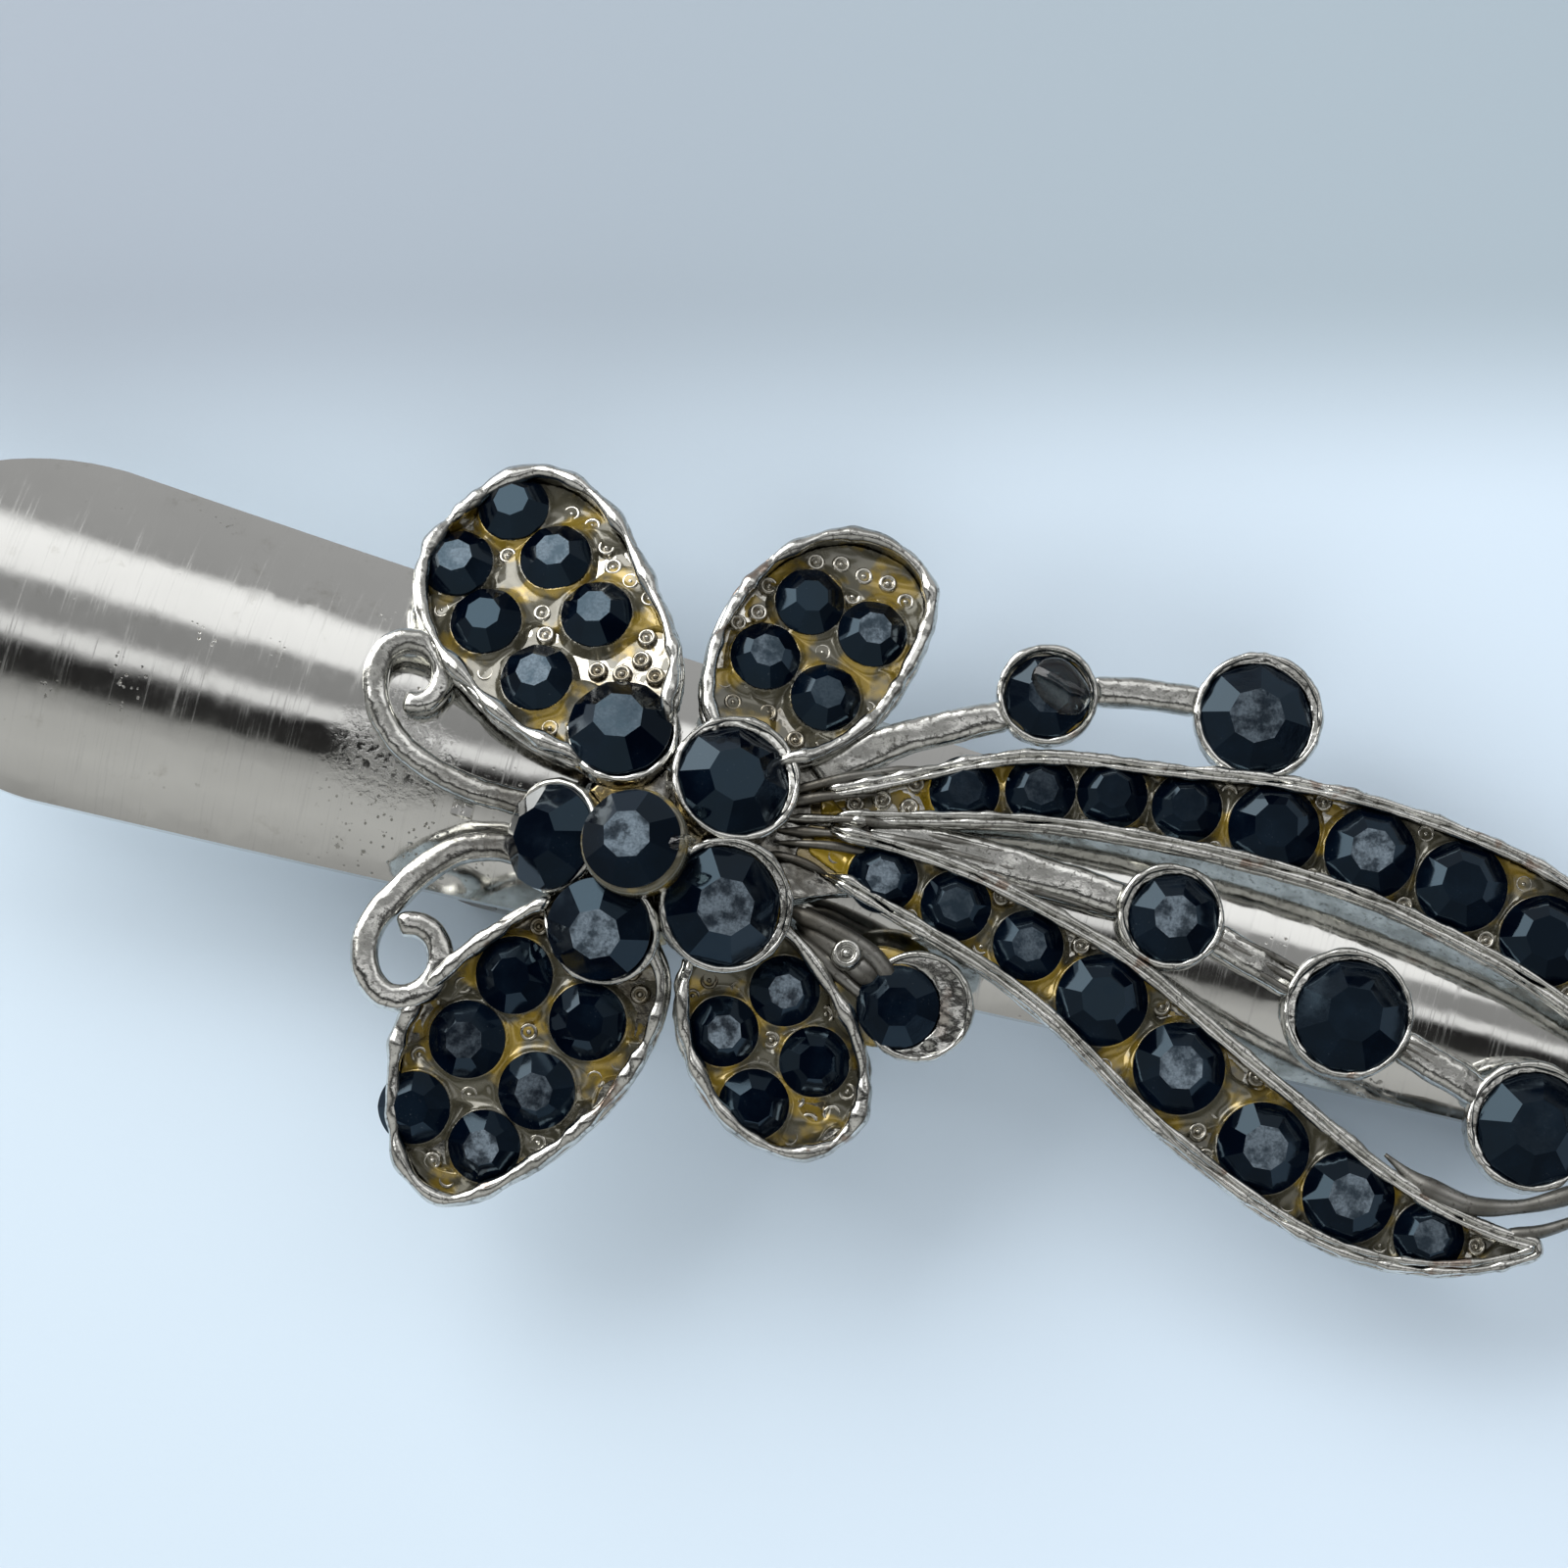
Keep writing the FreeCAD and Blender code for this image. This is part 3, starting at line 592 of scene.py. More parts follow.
def make_stones(node):
    """The CAD stones of a node as one detailed piece."""
    all_points, all_faces, kinds, seeds, places = [], [], [], [], []
    count = 0
    for points, faces in islands(*cad_mesh(node)):
        wide, height, table, axes, base = read_stone(points, faces)
        shape, shape_faces, shape_kinds = stone_shape(0.12, height / wide, table / wide)
        placed = (shape * wide) @ axes + base
        all_points.append(placed)
        all_faces += [[i + count for i in f] for f in shape_faces]
        kinds += shape_kinds
        seeds.append(np.full(len(shape), rng.uniform(0.05, 1.0)))
        places.append((base, axes, wide, height))
        count += len(shape)
    ob = smooth_mesh(node + "_cut", np.vstack(all_points), all_faces, STONE,
                     attributes={"seed": np.concatenate(seeds)})
    flat = np.array([k in ("table", "facet") for k in kinds])
    ob.data.polygons.foreach_set("use_smooth", ~flat)
    for key in ("table", "ridge"):
        layer = ob.data.attributes.new(key, "FLOAT", "FACE")
        layer.data.foreach_set("value", np.array([float(k == key) for k in kinds], dtype=np.float32))
    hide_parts(node)
    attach(ob, UPPER)
    return places


# ---- cast pieces
def melted(name, voxel=VOXEL, rounds=3, grow=0.0):
    """The CAD solid as an even, round-edged mesh, like metal from a mould."""
    points, faces = cad_mesh(name)
    ob = smooth_mesh(name + "_cast", points, faces, CAST)
    with_modifiers(
        ob,
        ("REMESH", {"mode": "VOXEL", "voxel_size": voxel * MM, "use_smooth_shade": True}),
        ("SMOOTH", {"factor": 0.5, "iterations": rounds}),
    )
    if grow:
        set_coordinates(ob, coordinates(ob) + vertex_normals(ob) * grow)
    return ob


def roughen(ob, amount, scale, seed, weight=1.0):
    """Moves the surface in and out by a cast, uneven texture."""
    points = coordinates(ob)
    push = wavy(points, scale, seed, 4) * amount * weight
    set_coordinates(ob, points + vertex_normals(ob) * push[:, None])


def rim_paths(name, axes, inset_from=0.02):
    """The outer top edges of a rimmed CAD piece, as runs of points in the piece's own axes."""
    points, faces = cad_mesh(name)
    local = points @ axes.T
    normals, _, _ = face_facts(local, faces)
    top = local[:, 2].max()
    is_top = (normals[:, 2] > 0.99) & (np.abs(local[faces][:, :, 2] - top).max(axis=1) < 0.01)
    tree = BVHTree.FromPolygons(local.tolist(), faces.tolist())
    edges = {}
    for face in faces[is_top]:
        for i in range(3):
            a, b = int(face[i]), int(face[(i + 1) % 3])
            if (b, a) in edges:
                del edges[(b, a)]
            else:
                edges[(a, b)] = True
    following = {}
    for a, b in edges:
        pa, pb = local[a], local[b]
        run = pb - pa
        out = np.array([run[1], -run[0], 0.0])
        size = np.linalg.norm(out)
        if size < 1e-6:
            continue
        probe = (pa + pb) / 2 + out / size * inset_from
        hit = tree.ray_cast(Vector(probe + [0, 0, 0.5]), Vector((0, 0, -1)))
        if hit[0] is None:
            following[a] = b
    runs = []
    starts = [a for a in following if a not in set(following.values())]
    while following:
        start = starts.pop() if starts else next(iter(following))
        if start not in following:
            continue
        chain = [start]
        while chain[-1] in following:
            chain.append(following.pop(chain[-1]))
        runs.append(local[chain])
    return runs


def end_direction(run, at_start, over=0.4):
    """The way a run heads out of its start or end, taken over its last few tenths of a millimetre."""
    tip = run[0] if at_start else run[-1]
    far = np.linalg.norm(run - tip, axis=1) > over
    if not far.any():
        far[:] = True
    inner = run[far][0] if at_start else run[far][-1]
    out = tip - inner
    return out / max(np.linalg.norm(out), 1e-9)


def crossing(run, following):
    """Smooth points over the gap between one run's end and the start of the next."""
    a, b = run[-1], following[0]
    span = np.linalg.norm(b - a)
    leave = end_direction(run, False) * span
    arrive = -end_direction(following, True) * span
    t = np.linspace(0, 1, 12)[1:-1, None]
    return ((2 * t ** 3 - 3 * t ** 2 + 1) * a + (t ** 3 - 2 * t ** 2 + t) * leave
            + (3 * t ** 2 - 2 * t ** 3) * b + (t ** 3 - t ** 2) * arrive)


def bridged(runs, reach):
    """Runs joined over the short gaps that stones cut into a rim."""
    runs = [run for run in runs if len(run) > 2 and strides(run).sum() > 0.5]
    done = []
    while runs:
        run = runs.pop(0)
        while np.linalg.norm(run[0] - run[-1]) > 1e-6:
            after = [np.linalg.norm(other[0] - run[-1]) for other in runs] + [reach]
            before = [np.linalg.norm(other[-1] - run[0]) for other in runs] + [reach]
            if min(after) < reach:
                other = runs.pop(int(np.argmin(after)))
                run = np.vstack([run, crossing(run, other), other])
            elif min(before) < reach:
                other = runs.pop(int(np.argmin(before)))
                run = np.vstack([other, crossing(other, run), run])
            elif np.linalg.norm(run[0] - run[-1]) < reach and len(run) > 8:
                run = np.vstack([run, crossing(run, run), run[:1]])
            else:
                break
        done.append(run)
    return done


def resampled(run, step, rounds=3):
    """Evenly spaced points along a polyline, lightly smoothed."""
    lengths = np.concatenate([[0], np.cumsum(strides(run))])
    count = max(6, int(lengths[-1] / step))
    at = np.linspace(0, lengths[-1], count)
    even = np.column_stack([np.interp(at, lengths, run[:, i]) for i in range(3)])
    for _ in range(rounds):
        even[1:-1] = 0.25 * even[:-2] + 0.5 * even[1:-1] + 0.25 * even[2:]
    return even


def tube_along(path, axes, inset, drop, radius, seed, closed):
    """A slightly uneven round rail that follows a path inset sideways and dropped a little."""
    jitter = 0.2
    ahead = np.gradient(path, axis=0)
    if closed:
        ahead[0] = ahead[-1] = path[1] - path[-2]
    ahead = unit_rows(ahead)
    inward = np.column_stack([-ahead[:, 1], ahead[:, 0], np.zeros(len(path))])
    centre = path + inward * inset - [0, 0, drop]
    uneven = 1 + jitter * wavy(path, 1.6, seed, 1) + 0.4 * jitter * wavy(path, 0.7, seed + 1, 1)
    centre = centre + inward * (0.25 * jitter * wavy(path, 2.0, seed + 2))[:, None] * radius
    points = rings(centre, inward, np.array([0, 0, 1.0]), radius * uneven)
    return points @ axes, tube_faces(len(path), 10, closed)


def outside(run, keep_outs):
    """The parts of a run that are clear of some places, given as (x, y, reach); a whole loop stays one."""
    clear = np.ones(len(run), dtype=bool)
    for x, y, reach in keep_outs:
        clear &= np.hypot(run[:, 0] - x, run[:, 1] - y) > reach
    if clear.all():
        return [run]
    if np.linalg.norm(run[0] - run[-1]) < 1e-6:
        turn = int(np.flatnonzero(~clear)[0])
        run = np.roll(run[:-1], -turn, axis=0)
        clear = np.roll(clear[:-1], -turn)
    cuts = np.flatnonzero(np.diff(clear.astype(int))) + 1
    pieces = zip(np.split(run, cuts), np.split(clear, cuts))
    return [part for part, kept in pieces if kept[0] and len(part) > 3]


def tucked(path):
    """A path whose open ends run on for 1 mm and dip, under the flower or the neck."""
    steps = np.linspace(0.2, 1.0, 5)[:, None]
    dip = np.array([0, 0, -0.9]) * steps ** 2
    before = path[0] + end_direction(path, True, 1.2) * steps + dip
    after = path[-1] + end_direction(path, False, 1.2) * steps + dip
    return np.vstack([before[::-1], path, after])


def keep_outs(name, axes):
    """Where a piece's rails stop: at the flower's stones for a wing, at the neck for a ribbon."""
    if name.startswith("ribbon"):
        return [(*((HINGE + FLOWER) @ axes.T)[:2], NECK_REACH)]
    if name.startswith("wing"):
        petals = [places[n][0] for n in STONES if "petal" in n or "centre" in n and "flower" in n]
        return [(*(base @ axes.T)[:2], wide / 2 + 0.4) for base, _, wide, _ in petals]
    return []


def rails(name, axes, specs, step=0.16):
    """Rail tubes, given as (inset, drop, radius), along every outer rim run of a CAD piece."""
    runs = rim_paths(name, axes)
    limits = keep_outs(name, axes)
    made = []
    runs = [part for run in bridged(runs, STONE_NOTCH) for part in outside(resampled(run, step), limits)]
    for number, run in enumerate(runs):
        closed = bool(np.linalg.norm(run[0] - run[-1]) < 1e-6)
        path = run[:-1] if closed else tucked(run)
        for inset, drop, radius in specs:
            seed = 11 * number + int(100 * inset)
            points, faces = tube_along(path, axes, inset, drop, radius, seed, closed)
            ob = smooth_mesh(name + "_rail", points, faces, CAST, attributes={"rail": 1.0})
            made.append(ob)
    return made


def cast_piece(name, parts):
    ob = join(name + "_cast", parts)
    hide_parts(name)
    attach(ob, UPPER)
    return ob


# ---- trays and their glue
def gaps(node, axes, stones):
    """Places on a tray's floor that are furthest from its stones and rim, in its own axes."""
    film, film_faces = cad_mesh("adhesive_" + node)
    local = film @ axes.T
    top = local[:, 2].max()
    normals, _, middles = face_facts(local, film_faces)
    is_top = (normals[:, 2] > 0.99) & (middles[:, 2] > top - 0.02)
    tree = BVHTree.FromPolygons(local.tolist(), film_faces[is_top].tolist())
    rim = local[local[:, 2] > top - 0.02]
    low, high = rim.min(axis=0), rim.max(axis=0)
    xs, ys = np.meshgrid(np.arange(low[0], high[0], 0.12), np.arange(low[1], high[1], 0.12))
    spots = []
    side = kdtree.KDTree(len(rim))
    for i, p in enumerate(rim):
        side.insert(p, i)
    side.balance()
    for x, y in zip(xs.ravel(), ys.ravel()):
        hit = tree.ray_cast(Vector((x, y, top + 1)), Vector((0, 0, -1)))
        if hit[0] is None:
            continue
        to_rim = side.find(Vector((x, y, top)))[2]
        to_stone = min((math.hypot(x - s[0], y - s[1]) - s[2] / 2 for s in stones), default=9)
        clear = min(to_rim, to_stone)
        if clear > STUD_MARGIN:
            spots.append((clear, x, y))
    spots.sort(reverse=True)
    chosen = []
    for clear, x, y in spots:
        size = min(1.5, clear / 0.25)
        if all(math.hypot(x - cx, y - cy) > 0.31 * (other + size) + 0.1 for cx, cy, other in chosen):
            chosen.append((x, y, size))
        if len(chosen) >= MOST_STUDS:
            break
    return chosen, top


def stud_shape():
    """A small cast ring with a bead in it, as a turned profile."""
    profile = [(0.0, 0.16), (0.05, 0.15), (0.09, 0.10), (0.12, 0.06), (0.16, 0.13), (0.21, 0.17),
               (0.26, 0.13), (0.29, 0.05), (0.31, -0.05)]
    sides = 16
    points = np.vstack([(0.0, 0.0, profile[0][1]), turned(profile[1:], sides)[0]])
    faces = [[0, 1 + k, 1 + (k + 1) % sides] for k in range(sides)]
    for ring in range(len(profile) - 2):
        first = 1 + ring * sides
        for k in range(sides):
            n = (k + 1) % sides
            faces.append([first + k, first + sides + k, first + sides + n, first + n])
    return points, faces


def studs(node, axes, spots, floor):
    points, faces = stud_shape()
    made = []
    for x, y, size in spots:
        placed = (points * size + [x, y, floor]) @ axes
        made.append(smooth_mesh(node + "_stud", placed, faces, CAST, {"rail": 0.0, "glue": 0.25}))
    return made


def local_stones(places, axes):
    return [(*(base @ axes.T)[:2], wide) for base, _, wide, _ in places]


def tray(node, stone_places, coverage):
    """A rimmed cast tray with rails and studs, and its uneven bed of dried glue."""
    points, faces = cad_mesh(node)
    axes = flat_axes(points, faces)
    stones = local_stones(stone_places, axes)
    is_ribbon = node.startswith("ribbon")
    body = melted(node, RIBBON_VOXEL if is_ribbon else VOXEL, 2)
    local = coordinates(body) @ axes.T
    bottom = local[:, 2].min()
    for x, y, reach in keep_outs(node, axes):
        hidden = np.clip((reach + 0.2 - np.hypot(local[:, 0] - x, local[:, 1] - y)) / 0.5, 0, 1)
        local[:, 2] -= hidden * np.maximum(local[:, 2] - bottom - 0.6, 0)
    set_coordinates(body, local @ axes)
    wall = np.clip((local[:, 2] - bottom - 0.9) / 0.3, 0, 1)
    roughen(body, 0.035, 1.3, 5 + len(node), 0.4 + 0.6 * wall)
    attribute(body, "rail", wall)
    spots, film_top = gaps(node, axes, stones)
    height = local[:, 2] - bottom
    inside = (height > 0.25) & (height < 0.75) & (vertex_normals(body) @ axes[2] > 0.7)
    bare = np.clip(3 * (0.5 + wavy(local, 5.0, 31 + len(node)) - coverage), 0, 1)
    attribute(body, "glue", inside * (0.75 - 0.6 * bare))
    parts = [body] + rails(node, axes, RIBBON_RAILS if is_ribbon else WING_RAILS)
    parts += studs(node, axes, spots, film_top - 0.2)
    cast_piece(node, parts)
    glue(node, axes, stones, coverage)


def glue(node, axes, stones, coverage):
    film = "adhesive_" + node
    points, faces = cad_mesh(film)
    ob = smooth_mesh(film + "_dried", points, faces, GLUE)
    with_modifiers(ob, ("REMESH", {"mode": "VOXEL", "voxel_size": 0.08 * MM, "use_smooth_shade": True}))
    local = coordinates(ob) @ axes.T
    low, high = local[:, 2].min(), local[:, 2].max()
    upper = np.clip((local[:, 2] - low) / (high - low), 0, 1)
    to_stone = np.full(len(local), 9.0)
    for x, y, wide in stones:
        to_stone = np.minimum(to_stone, np.abs(np.hypot(local[:, 0] - x, local[:, 1] - y) - wide / 2))
    climb = 0.34 * np.exp(-to_stone / 0.22)
    lumps = 0.07 * wavy(local, 2.2, 3, 2)
    bare = np.clip(3 * (0.5 + wavy(local, 5.0, 31 + len(node)) - coverage), 0, 1)
    thin = 0.5 * bare * (1 - np.exp(-to_stone / 0.3))
    local[:, 2] += upper * (climb + lumps - thin)
    set_coordinates(ob, local @ axes)
    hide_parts(film)
    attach(ob, UPPER)


# ---- cups, bars, hub
def cup(node):
    points, faces = cad_mesh(node)
    axes = flat_axes(points, faces)
    body = melted(node, 0.075)
    roughen(body, 0.03, 1.2, 17)
    attribute(body, "rail", 0.6)
    parts = [body] + rails(node, axes, CUP_RAILS, 0.12)
    cast_piece(node, parts)


def tail():
    """The bar that leaves the lower ribbon's end and hooks round towards the tip."""
    bar = [(40.6, -6.9, -0.5), (42.4, -7.8, -0.4), (44.8, -8.1, -0.3), (47.0, -7.4, -0.3),
           (48.9, -6.2, -0.3), (51.4, -5.0, -0.35), (53.8, -4.3, -0.4)]
    branch = [(45.6, -9.0, -0.6), (47.6, -8.4, -0.45), (49.6, -7.0, -0.4), (51.6, -5.3, -0.4)]
    cast_piece("stem_tail", [ridge(bar, 0.42, 0.36, 71, "tail"), ridge(branch, 0.30, 0.26, 73, "tail")])


def side_leaf():
    """The leaf of metal that reaches from the neck to the side cup, with a boss on it."""
    inner = [(13.6, -3.8, 0.1), (15.8, -4.1, 0.3), (18.0, -4.7, 0.1), (19.3, -6.2, -0.2)]
    outer = [(13.2, -4.4, -0.3), (15.4, -5.3, -0.2), (17.2, -6.2, -0.3), (18.8, -6.9, -0.4)]
    middle = [(14.2, -4.2, -0.4), (16.6, -5.0, -0.25), (18.6, -5.9, -0.4)]
    parts = [ridge(inner, 0.46, 0.40, 80, "leaf"), ridge(outer, 0.36, 0.30, 81, "leaf"),
             ridge(middle, 0.62, 0.62, 82, "leaf")]
    points, faces = stud_shape()
    placed = points * 2.3 + HINGE + deck(16.7, -5.0, 0.3)
    parts.append(smooth_mesh("boss", placed, faces, CAST, {"rail": 0.0}))
    cast_piece("stem_lower_side", parts)


def wire(node):
    """A cast bar or feeler, melted until its square section is round."""
    body = melted(node, 0.075, 55, 0.15)
    if node.startswith("stem_middle"):
        points = coordinates(body)
        points[:, 2] -= 0.5 * np.clip(points[:, 0] - points[:, 0].max() + 1.6, 0, 1)
        set_coordinates(body, points)
    roughen(body, 0.022, 1.8, 23)
    attribute(body, "rail", 0.3)
    ribs = {"stem_middle_inner": (((15.5, 0.4), (28.0, 0.5)), 0.9),
            "stem_middle_centre": (((31.0, 0.1), (35.8, -1.0)), 0.7),
            "stem_middle_outer": (((39.6, -2.1), (44.2, -3.5)), 0.6)}
    parts = [body]
    if node in ribs:
        parts += stem_ribs(*ribs[node], 60)
    cast_piece(node, parts)


def ridge(path, start_r, end_r, seed, name):
    """A tapering cast rib through a few places on the plane of the stems."""
    path = resampled(np.array([deck(*place) for place in path]) + HINGE, 0.3, 6)
    ahead = unit_rows(np.gradient(path, axis=0))
    side = unit_rows(np.cross(ahead, [0, 0, 1.0]))
    up = np.cross(side, ahead)
    share = np.linspace(0, 1, len(path))
    radius = (start_r + share * (end_r - start_r)) * (1 + 0.14 * wavy(path, 3.0, seed, 1))
    radius *= np.minimum(1, 0.2 + 5 * np.minimum(share, 1 - share))
    points = rings(path, side, up, radius)
    return smooth_mesh(name, points, tube_faces(len(path), 10), CAST, {"rail": 0.2})


def deck(x, y, lift=0.0):
    """A place on the plane of the stems, from the hinge in millimetres: it falls towards the tip."""
    fall = (x - STEM_MIDDLE) * math.tan(math.radians(STEM_FALL))
    return (x, y, STEM_HEIGHT - HINGE[2] + lift - fall)


def neck_ribs():
    """The fan of ribs that runs from under the flower to the ribbons and the stems."""
    root = [(12.0, 0.3), (12.2, -0.2), (12.3, -0.7), (12.4, -1.2), (12.3, -1.7), (12.2, 0.9)]
    ends = [(16.2, 2.0), (18.5, 1.1), (20.5, 0.7), (17.5, -0.5), (15.0, -1.9), (17.5, 3.6)]
    parts = []
    for number, ((ax, ay), (bx, by)) in enumerate(zip(root, ends)):
        path = [(ax, ay, 0.1), ((ax + bx) / 2, (ay + by) / 2 + 0.15, 0.45), (bx, by, 0.1)]
        parts.append(ridge(path, 0.22, 0.15, 40 + number, "neck_rib"))
    return parts


def stem_ribs(ends, spread, seed):
    """Three ribs side by side along a stem, closer together at its start."""
    (ax, ay), (bx, by) = ends
    parts = []
    for number, off in enumerate((-spread, 0.0, spread)):
        path = [(ax, ay + 0.35 * off, 0.0), ((ax + bx) / 2, (ay + by) / 2 + 0.7 * off, 0.10),
                (bx, by + 0.8 * off, -0.3)]
        parts.append(ridge(path, 0.19, 0.09, seed + number, "stem_rib"))
    return parts


def hub():
    """The casting under the flower, with glue on it between the petals."""
    body = melted("flower_hub", VOXEL, 4)
    roughen(body, 0.06, 1.4, 29)
    points = coordinates(body)
    away = np.linalg.norm((points - HINGE - FLOWER)[:, :2], axis=1)
    patches = np.clip(0.75 + wavy(points, 3.0, 8), 0, 0.95)
    attribute(body, "glue", np.clip((5.2 - away) / 1.2, 0, 1) * patches)
    cast_piece("flower_hub", [body] + neck_ribs())


# ---- loose glue
def loose_glue(ob):
    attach(ob, UPPER)


def puddle(node, radius, shift, lift, seed):
    """A shallow pool of glue in a cup, round its stone."""
    base, axes, _, _ = places["stone_" + node][0]
    points, faces = turned([(radius, -0.5), (radius, lift - 0.1), (0.92 * radius, lift + 0.02),
                            (0.5 * radius, lift), (0.02, lift)])
    points[:, :2] += shift
    points[:, 2] += 0.07 * wavy(points, 1.6, seed, 2) * (points[:, 2] > 0)
    loose_glue(smooth_mesh("glue_" + node, points @ axes + base, faces, GLUE))


def clear_blob(name, middle, axes, radii, seed):
    """A bead of clear glue."""
    bm = bmesh.new()
    bmesh.ops.create_icosphere(bm, subdivisions=4, radius=1.0)
    points, faces = taken(bm)
    points *= 1 + 0.08 * wavy(points, 1.5, seed, 2)[:, None]
    loose_glue(smooth_mesh(name, (points * radii) @ axes + middle, faces, CLEAR))


def flower_glue():
    """Glue round the flower's centre and the side cup, and clear beads on two stones."""
    puddles = (("lower_side", 2.15, (0.82, 0.22), 0.30), ("flower_centre", 2.28, (0.12, 0.0), 0.42),
               ("upper_inner", 2.02, (0.0, 0.08), 0.42), ("petal_3", 2.7, (0.2, 0.12), 0.45))
    for node, radius, shift, lift in puddles:
        puddle(node, radius, shift, lift, len(node))
    base, axes, _, height = places["stone_upper_inner"][0]
    clear_blob("bead_upper_inner", base + (0.15, 0.55, height - 0.1) @ axes, axes, (1.45, 1.0, 0.55), 3)
    base, axes, _, height = places["stone_flower_centre"][0]
    turn = math.radians(55)
    along = spun(turn) @ axes
    clear_blob("strand_flower", base + (1.5, 1.05, height - 0.95) @ axes, along, (0.95, 0.36, 0.34), 5)


# ---- spring
def spring():
    """The wound coil and its two legs, which twists between the clip's halves."""
    steps = int(COIL_TURNS * 28)
    path = []
    for i in range(steps + 1):
        share = i / steps
        angle = math.radians(115) + COIL_TURNS * 2 * math.pi * share
        path.append((COIL_R * math.cos(angle), -LEG_Y + 2 * LEG_Y * share, COIL_R * math.sin(angle)))
    path = np.array(path)
    start_leg = np.linspace((-9.5, -LEG_Y, 3.75), path[0], 14)[:-1]
    end_leg = np.linspace(path[-1], (-9.5, LEG_Y, -3.6), 14)[1:]
    path = np.vstack([start_leg, path, end_leg])
    curve = bpy.data.curves.new("torsion_spring_wound", "CURVE")
    curve.dimensions = "3D"
    curve.bevel_depth = WIRE_R * MM
    curve.bevel_resolution = 4
    curve.use_fill_caps = True
    line = curve.splines.new("POLY")
    line.points.add(len(path) - 1)
    line.points.foreach_set("co", np.column_stack([(path + HINGE) * MM, np.ones(len(path))]).ravel())
    ob = add_object("torsion_spring_wound", curve)
    mesh = baked_mesh(ob)
    bpy.data.objects.remove(ob)
    mesh.materials.clear()
    mesh.materials.append(WIRE)
    mesh.polygons.foreach_set("use_smooth", np.ones(len(mesh.polygons), dtype=bool))
    piece = add_object("torsion_spring_wound", mesh)
    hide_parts("torsion_spring")
    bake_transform(piece)


# ---- sheet pieces
def dress(node, material):
    """A CAD piece that keeps its shape and gets its own finish."""
    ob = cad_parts[node]
    ob.data.materials.clear()
    ob.data.materials.append(material)


# ---- floor, camera, lights
def make_floor(right, up):
    """A pale table top with painted shade: its colour is deeper in tone towards the top of the view and
    shifts a little from left to right.
    """
    size = 3000.0
    m = Nodes("floor")
    # Painted light and shade on the floor: lighter low in the view, deeper towards its top, a little
    # different from left to right.
    across = m.ramp(m.dot(right), -35 * MM, 30 * MM)
    bright = m.mix(across, (0.53, 0.635, 0.735), (0.565, 0.675, 0.79))
    painted_shade_tone = m.mix(across, (0.315, 0.37, 0.44), (0.325, 0.40, 0.465))
    m.link(m.mix(m.ramp(m.dot(up), 18 * MM, 29.5 * MM), bright, painted_shade_tone), "Base Color")
    m.link(m.bump(m.noise(0.5, 3.0), 0.02, 0.3), "Normal")
    m.set(Roughness=0.55)
    ob = smooth_mesh("floor", [(-size, -size, 0), (size, -size, 0), (size, size, 0), (-size, size, 0)],
                     [[0, 1, 2, 3]], m.material)


CAMERA_ROLL = 15.7             # degrees


def view_axes():
    """The camera's back, right and up directions: it faces the ornament, rolled so that the
    clip runs down to the right, and sits a little below the ornament's normal."""
    lean, roll, low = math.radians(5.0), math.radians(CAMERA_ROLL), math.radians(10.0)
    along = np.array([math.cos(lean), 0, -math.sin(lean)])
    across = np.array([0, 1.0, 0])
    normal = np.array([math.sin(lean), 0, math.cos(lean)])
    up_hint = -math.sin(roll) * along + math.cos(roll) * across
    back = math.cos(low) * normal - math.sin(low) * up_hint
    up = up_hint - up_hint.dot(back) * back
    up /= np.linalg.norm(up)
    return back, np.cross(up, back), up


def make_camera():
    distance, field = 220.0, 66.67
    back, right, up = view_axes()
    target = HINGE + np.array([12.14, 1.36, 4.66])
    camera = bpy.data.cameras.new("camera")
    camera.sensor_width = 36.0
    camera.lens = 36.0 * distance / field
    camera.clip_start = 10 * MM
    ob = add_object("camera", camera)
    place = Matrix([list(right) + [0], list(up) + [0], list(back) + [0], [0, 0, 0, 1]]).transposed()
    ob.matrix_world = Matrix.Translation((target + back * distance) * MM) @ place
    bpy.context.scene.camera = ob
    return target, right, up


def softbox(name, target, direction, distance, size, power, tint, level):
    """A rectangular light that faces the target, with one side along level."""
    light = bpy.data.lights.new(name, "AREA")
    light.shape = "RECTANGLE"
    light.size, light.size_y = size[0] * MM, size[1] * MM
    light.energy = power
    light.color = tint
    ob = add_object(name, light)
    direction = Vector(direction).normalized()
    side = Vector(level).cross(direction).normalized()
    turned_to = Matrix([side, direction.cross(side), direction]).transposed().to_4x4()
    ob.matrix_world = Matrix.Translation((Vector(target) + direction * distance) * MM) @ turned_to
    return ob


# The room round the clip, by the angle above its plate towards the top of the view: brightness.
ROOM = ((-90, 0.24), (-66, 0.30), (-56, 0.52), (-42, 0.60), (-28, 0.54), (-19, 0.34), (-15.5, 0.03),
        (-5, 0.02), (-2.5, 0.25), (0, 0.95), (4, 1.0), (7, 0.45), (9, 0.32), (21, 0.34), (25, 1.2),
        (40, 1.3), (43, 1.2), (47, 0.42), (52, 0.44), (72, 0.46), (90, 0.50))


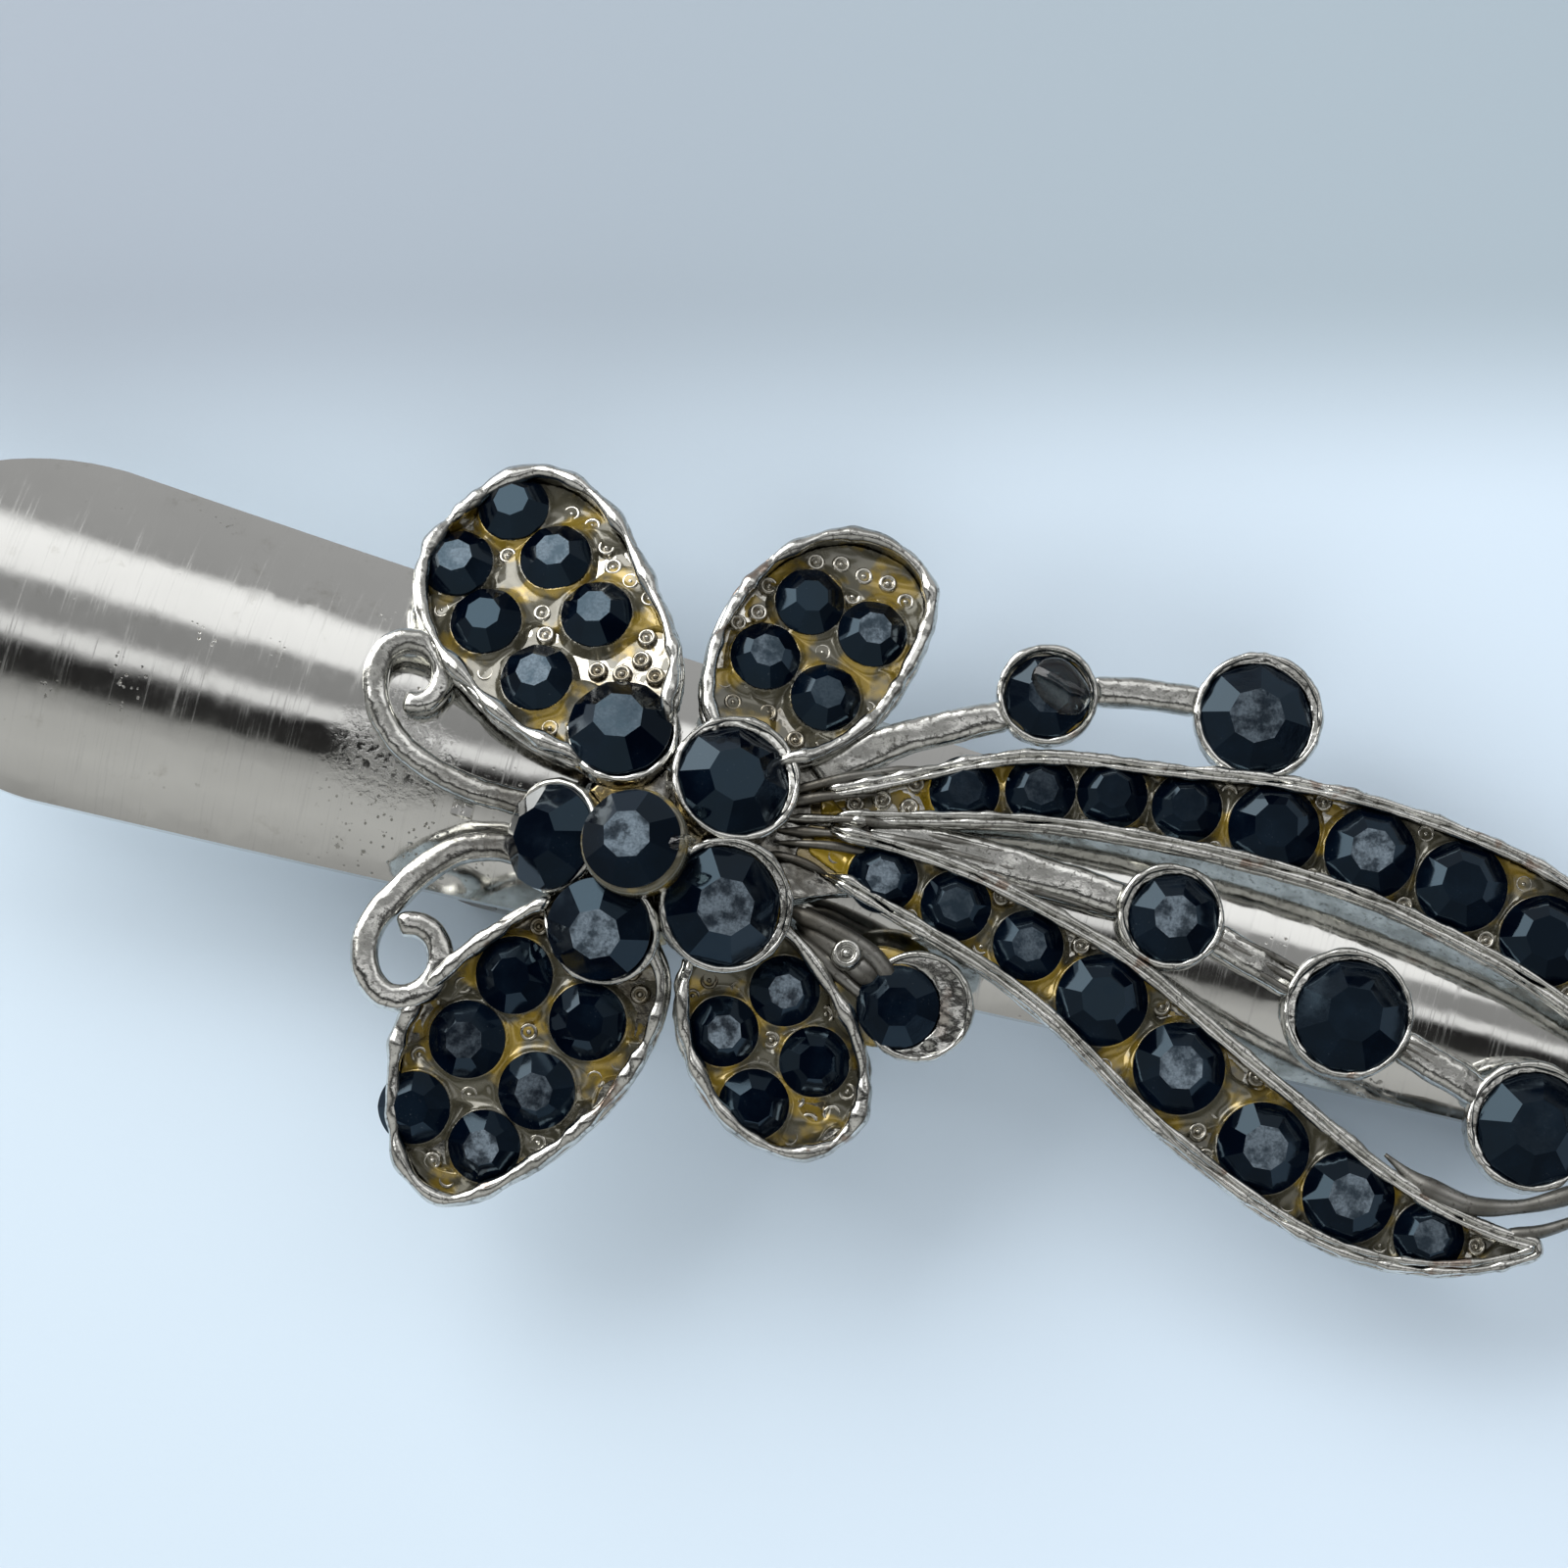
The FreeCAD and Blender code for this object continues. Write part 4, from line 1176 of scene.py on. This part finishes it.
def make_room(along, over, normal):
    """The light of a white photo tent: a bright panel above, a dark gap where the camera looks in."""
    world = bpy.data.worlds.new("room")
    m = Nodes("room", world, "Generated")
    turn = m.math("ARCTAN2", m.dot(over), m.dot(normal))
    share = m.node("ShaderNodeMath", {"operation": "MULTIPLY_ADD"}, i0=turn, i1=1 / math.pi, i2=0.5)
    ramp = m.node("ShaderNodeValToRGB", i0=share.outputs[0])
    stops = ramp.color_ramp.elements
    while len(stops) < len(ROOM):
        stops.new(1.0)
    for stop, (angle, level) in zip(stops, ROOM):
        stop.position = angle / 180 + 0.5
        cool = 0.97 if angle < -10 else 1.0
        stop.color = (level, level, level * cool, 1)
    sideways = m.dot(along)
    right_side = m.node("ShaderNodeMapRange", i0=sideways, i1=0.55, i2=0.85, i3=1.0, i4=0.25).outputs[0]
    left_side = m.node("ShaderNodeMapRange", i0=sideways, i1=-0.9, i2=-0.6, i3=0.8, i4=1.0).outputs[0]
    m.link(ramp.outputs[0], "Color")
    m.link(m.times(right_side, left_side), "Strength")
    bpy.context.scene.world = world


def make_lights(target, right, up):
    """The room, a soft key from above the thumb end, and a weak fill that makes no reflection."""
    roll = math.radians(CAMERA_ROLL)
    along = math.cos(roll) * right - math.sin(roll) * up
    over = np.array([0.0, 1.0, 0.0])
    overhead = np.array([0, 0, 1.0])
    make_room(np.array([1.0, 0, 0]), over, overhead)

    def aim(angle, slide):
        a, s = math.radians(angle), math.radians(slide)
        flat = math.cos(a) * overhead + math.sin(a) * over
        return math.cos(s) * flat + math.sin(s) * along

    softbox("key", target, aim(50, -52), 520, (620, 460), 3.6, (1.0, 0.99, 0.97), over)
    fill = softbox("fill", target, aim(-45, 25), 400, (520, 420), 1.3, (1.0, 0.99, 0.98), over)
    fill.visible_glossy = False


# ---- the clip
target, right, up = make_camera()
make_lights(target, right, up)
make_floor(right, up)

places = {node: make_stones(node) for node in STONES}
for node in TRAYS:
    tray(node, places["stones_" + node], GLUE_COVER[node])
for node in CUPS:
    cup(node)
for node in BARS:
    if node not in ("stem_tail", "stem_lower_side"):
        wire(node)
tail()
side_leaf()
flower_glue()
hub()
spring()
finishes = {"top_plate": NICKEL, "hinge_bracket": NICKEL, "lower_jaw": STEEL, "hinge_pin": PIN,
            "solder_front": SOLDER, "solder_rear": SOLDER}
for node, finish in finishes.items():
    dress(node, finish)
bpy.context.scene.view_settings.view_transform = "Standard"
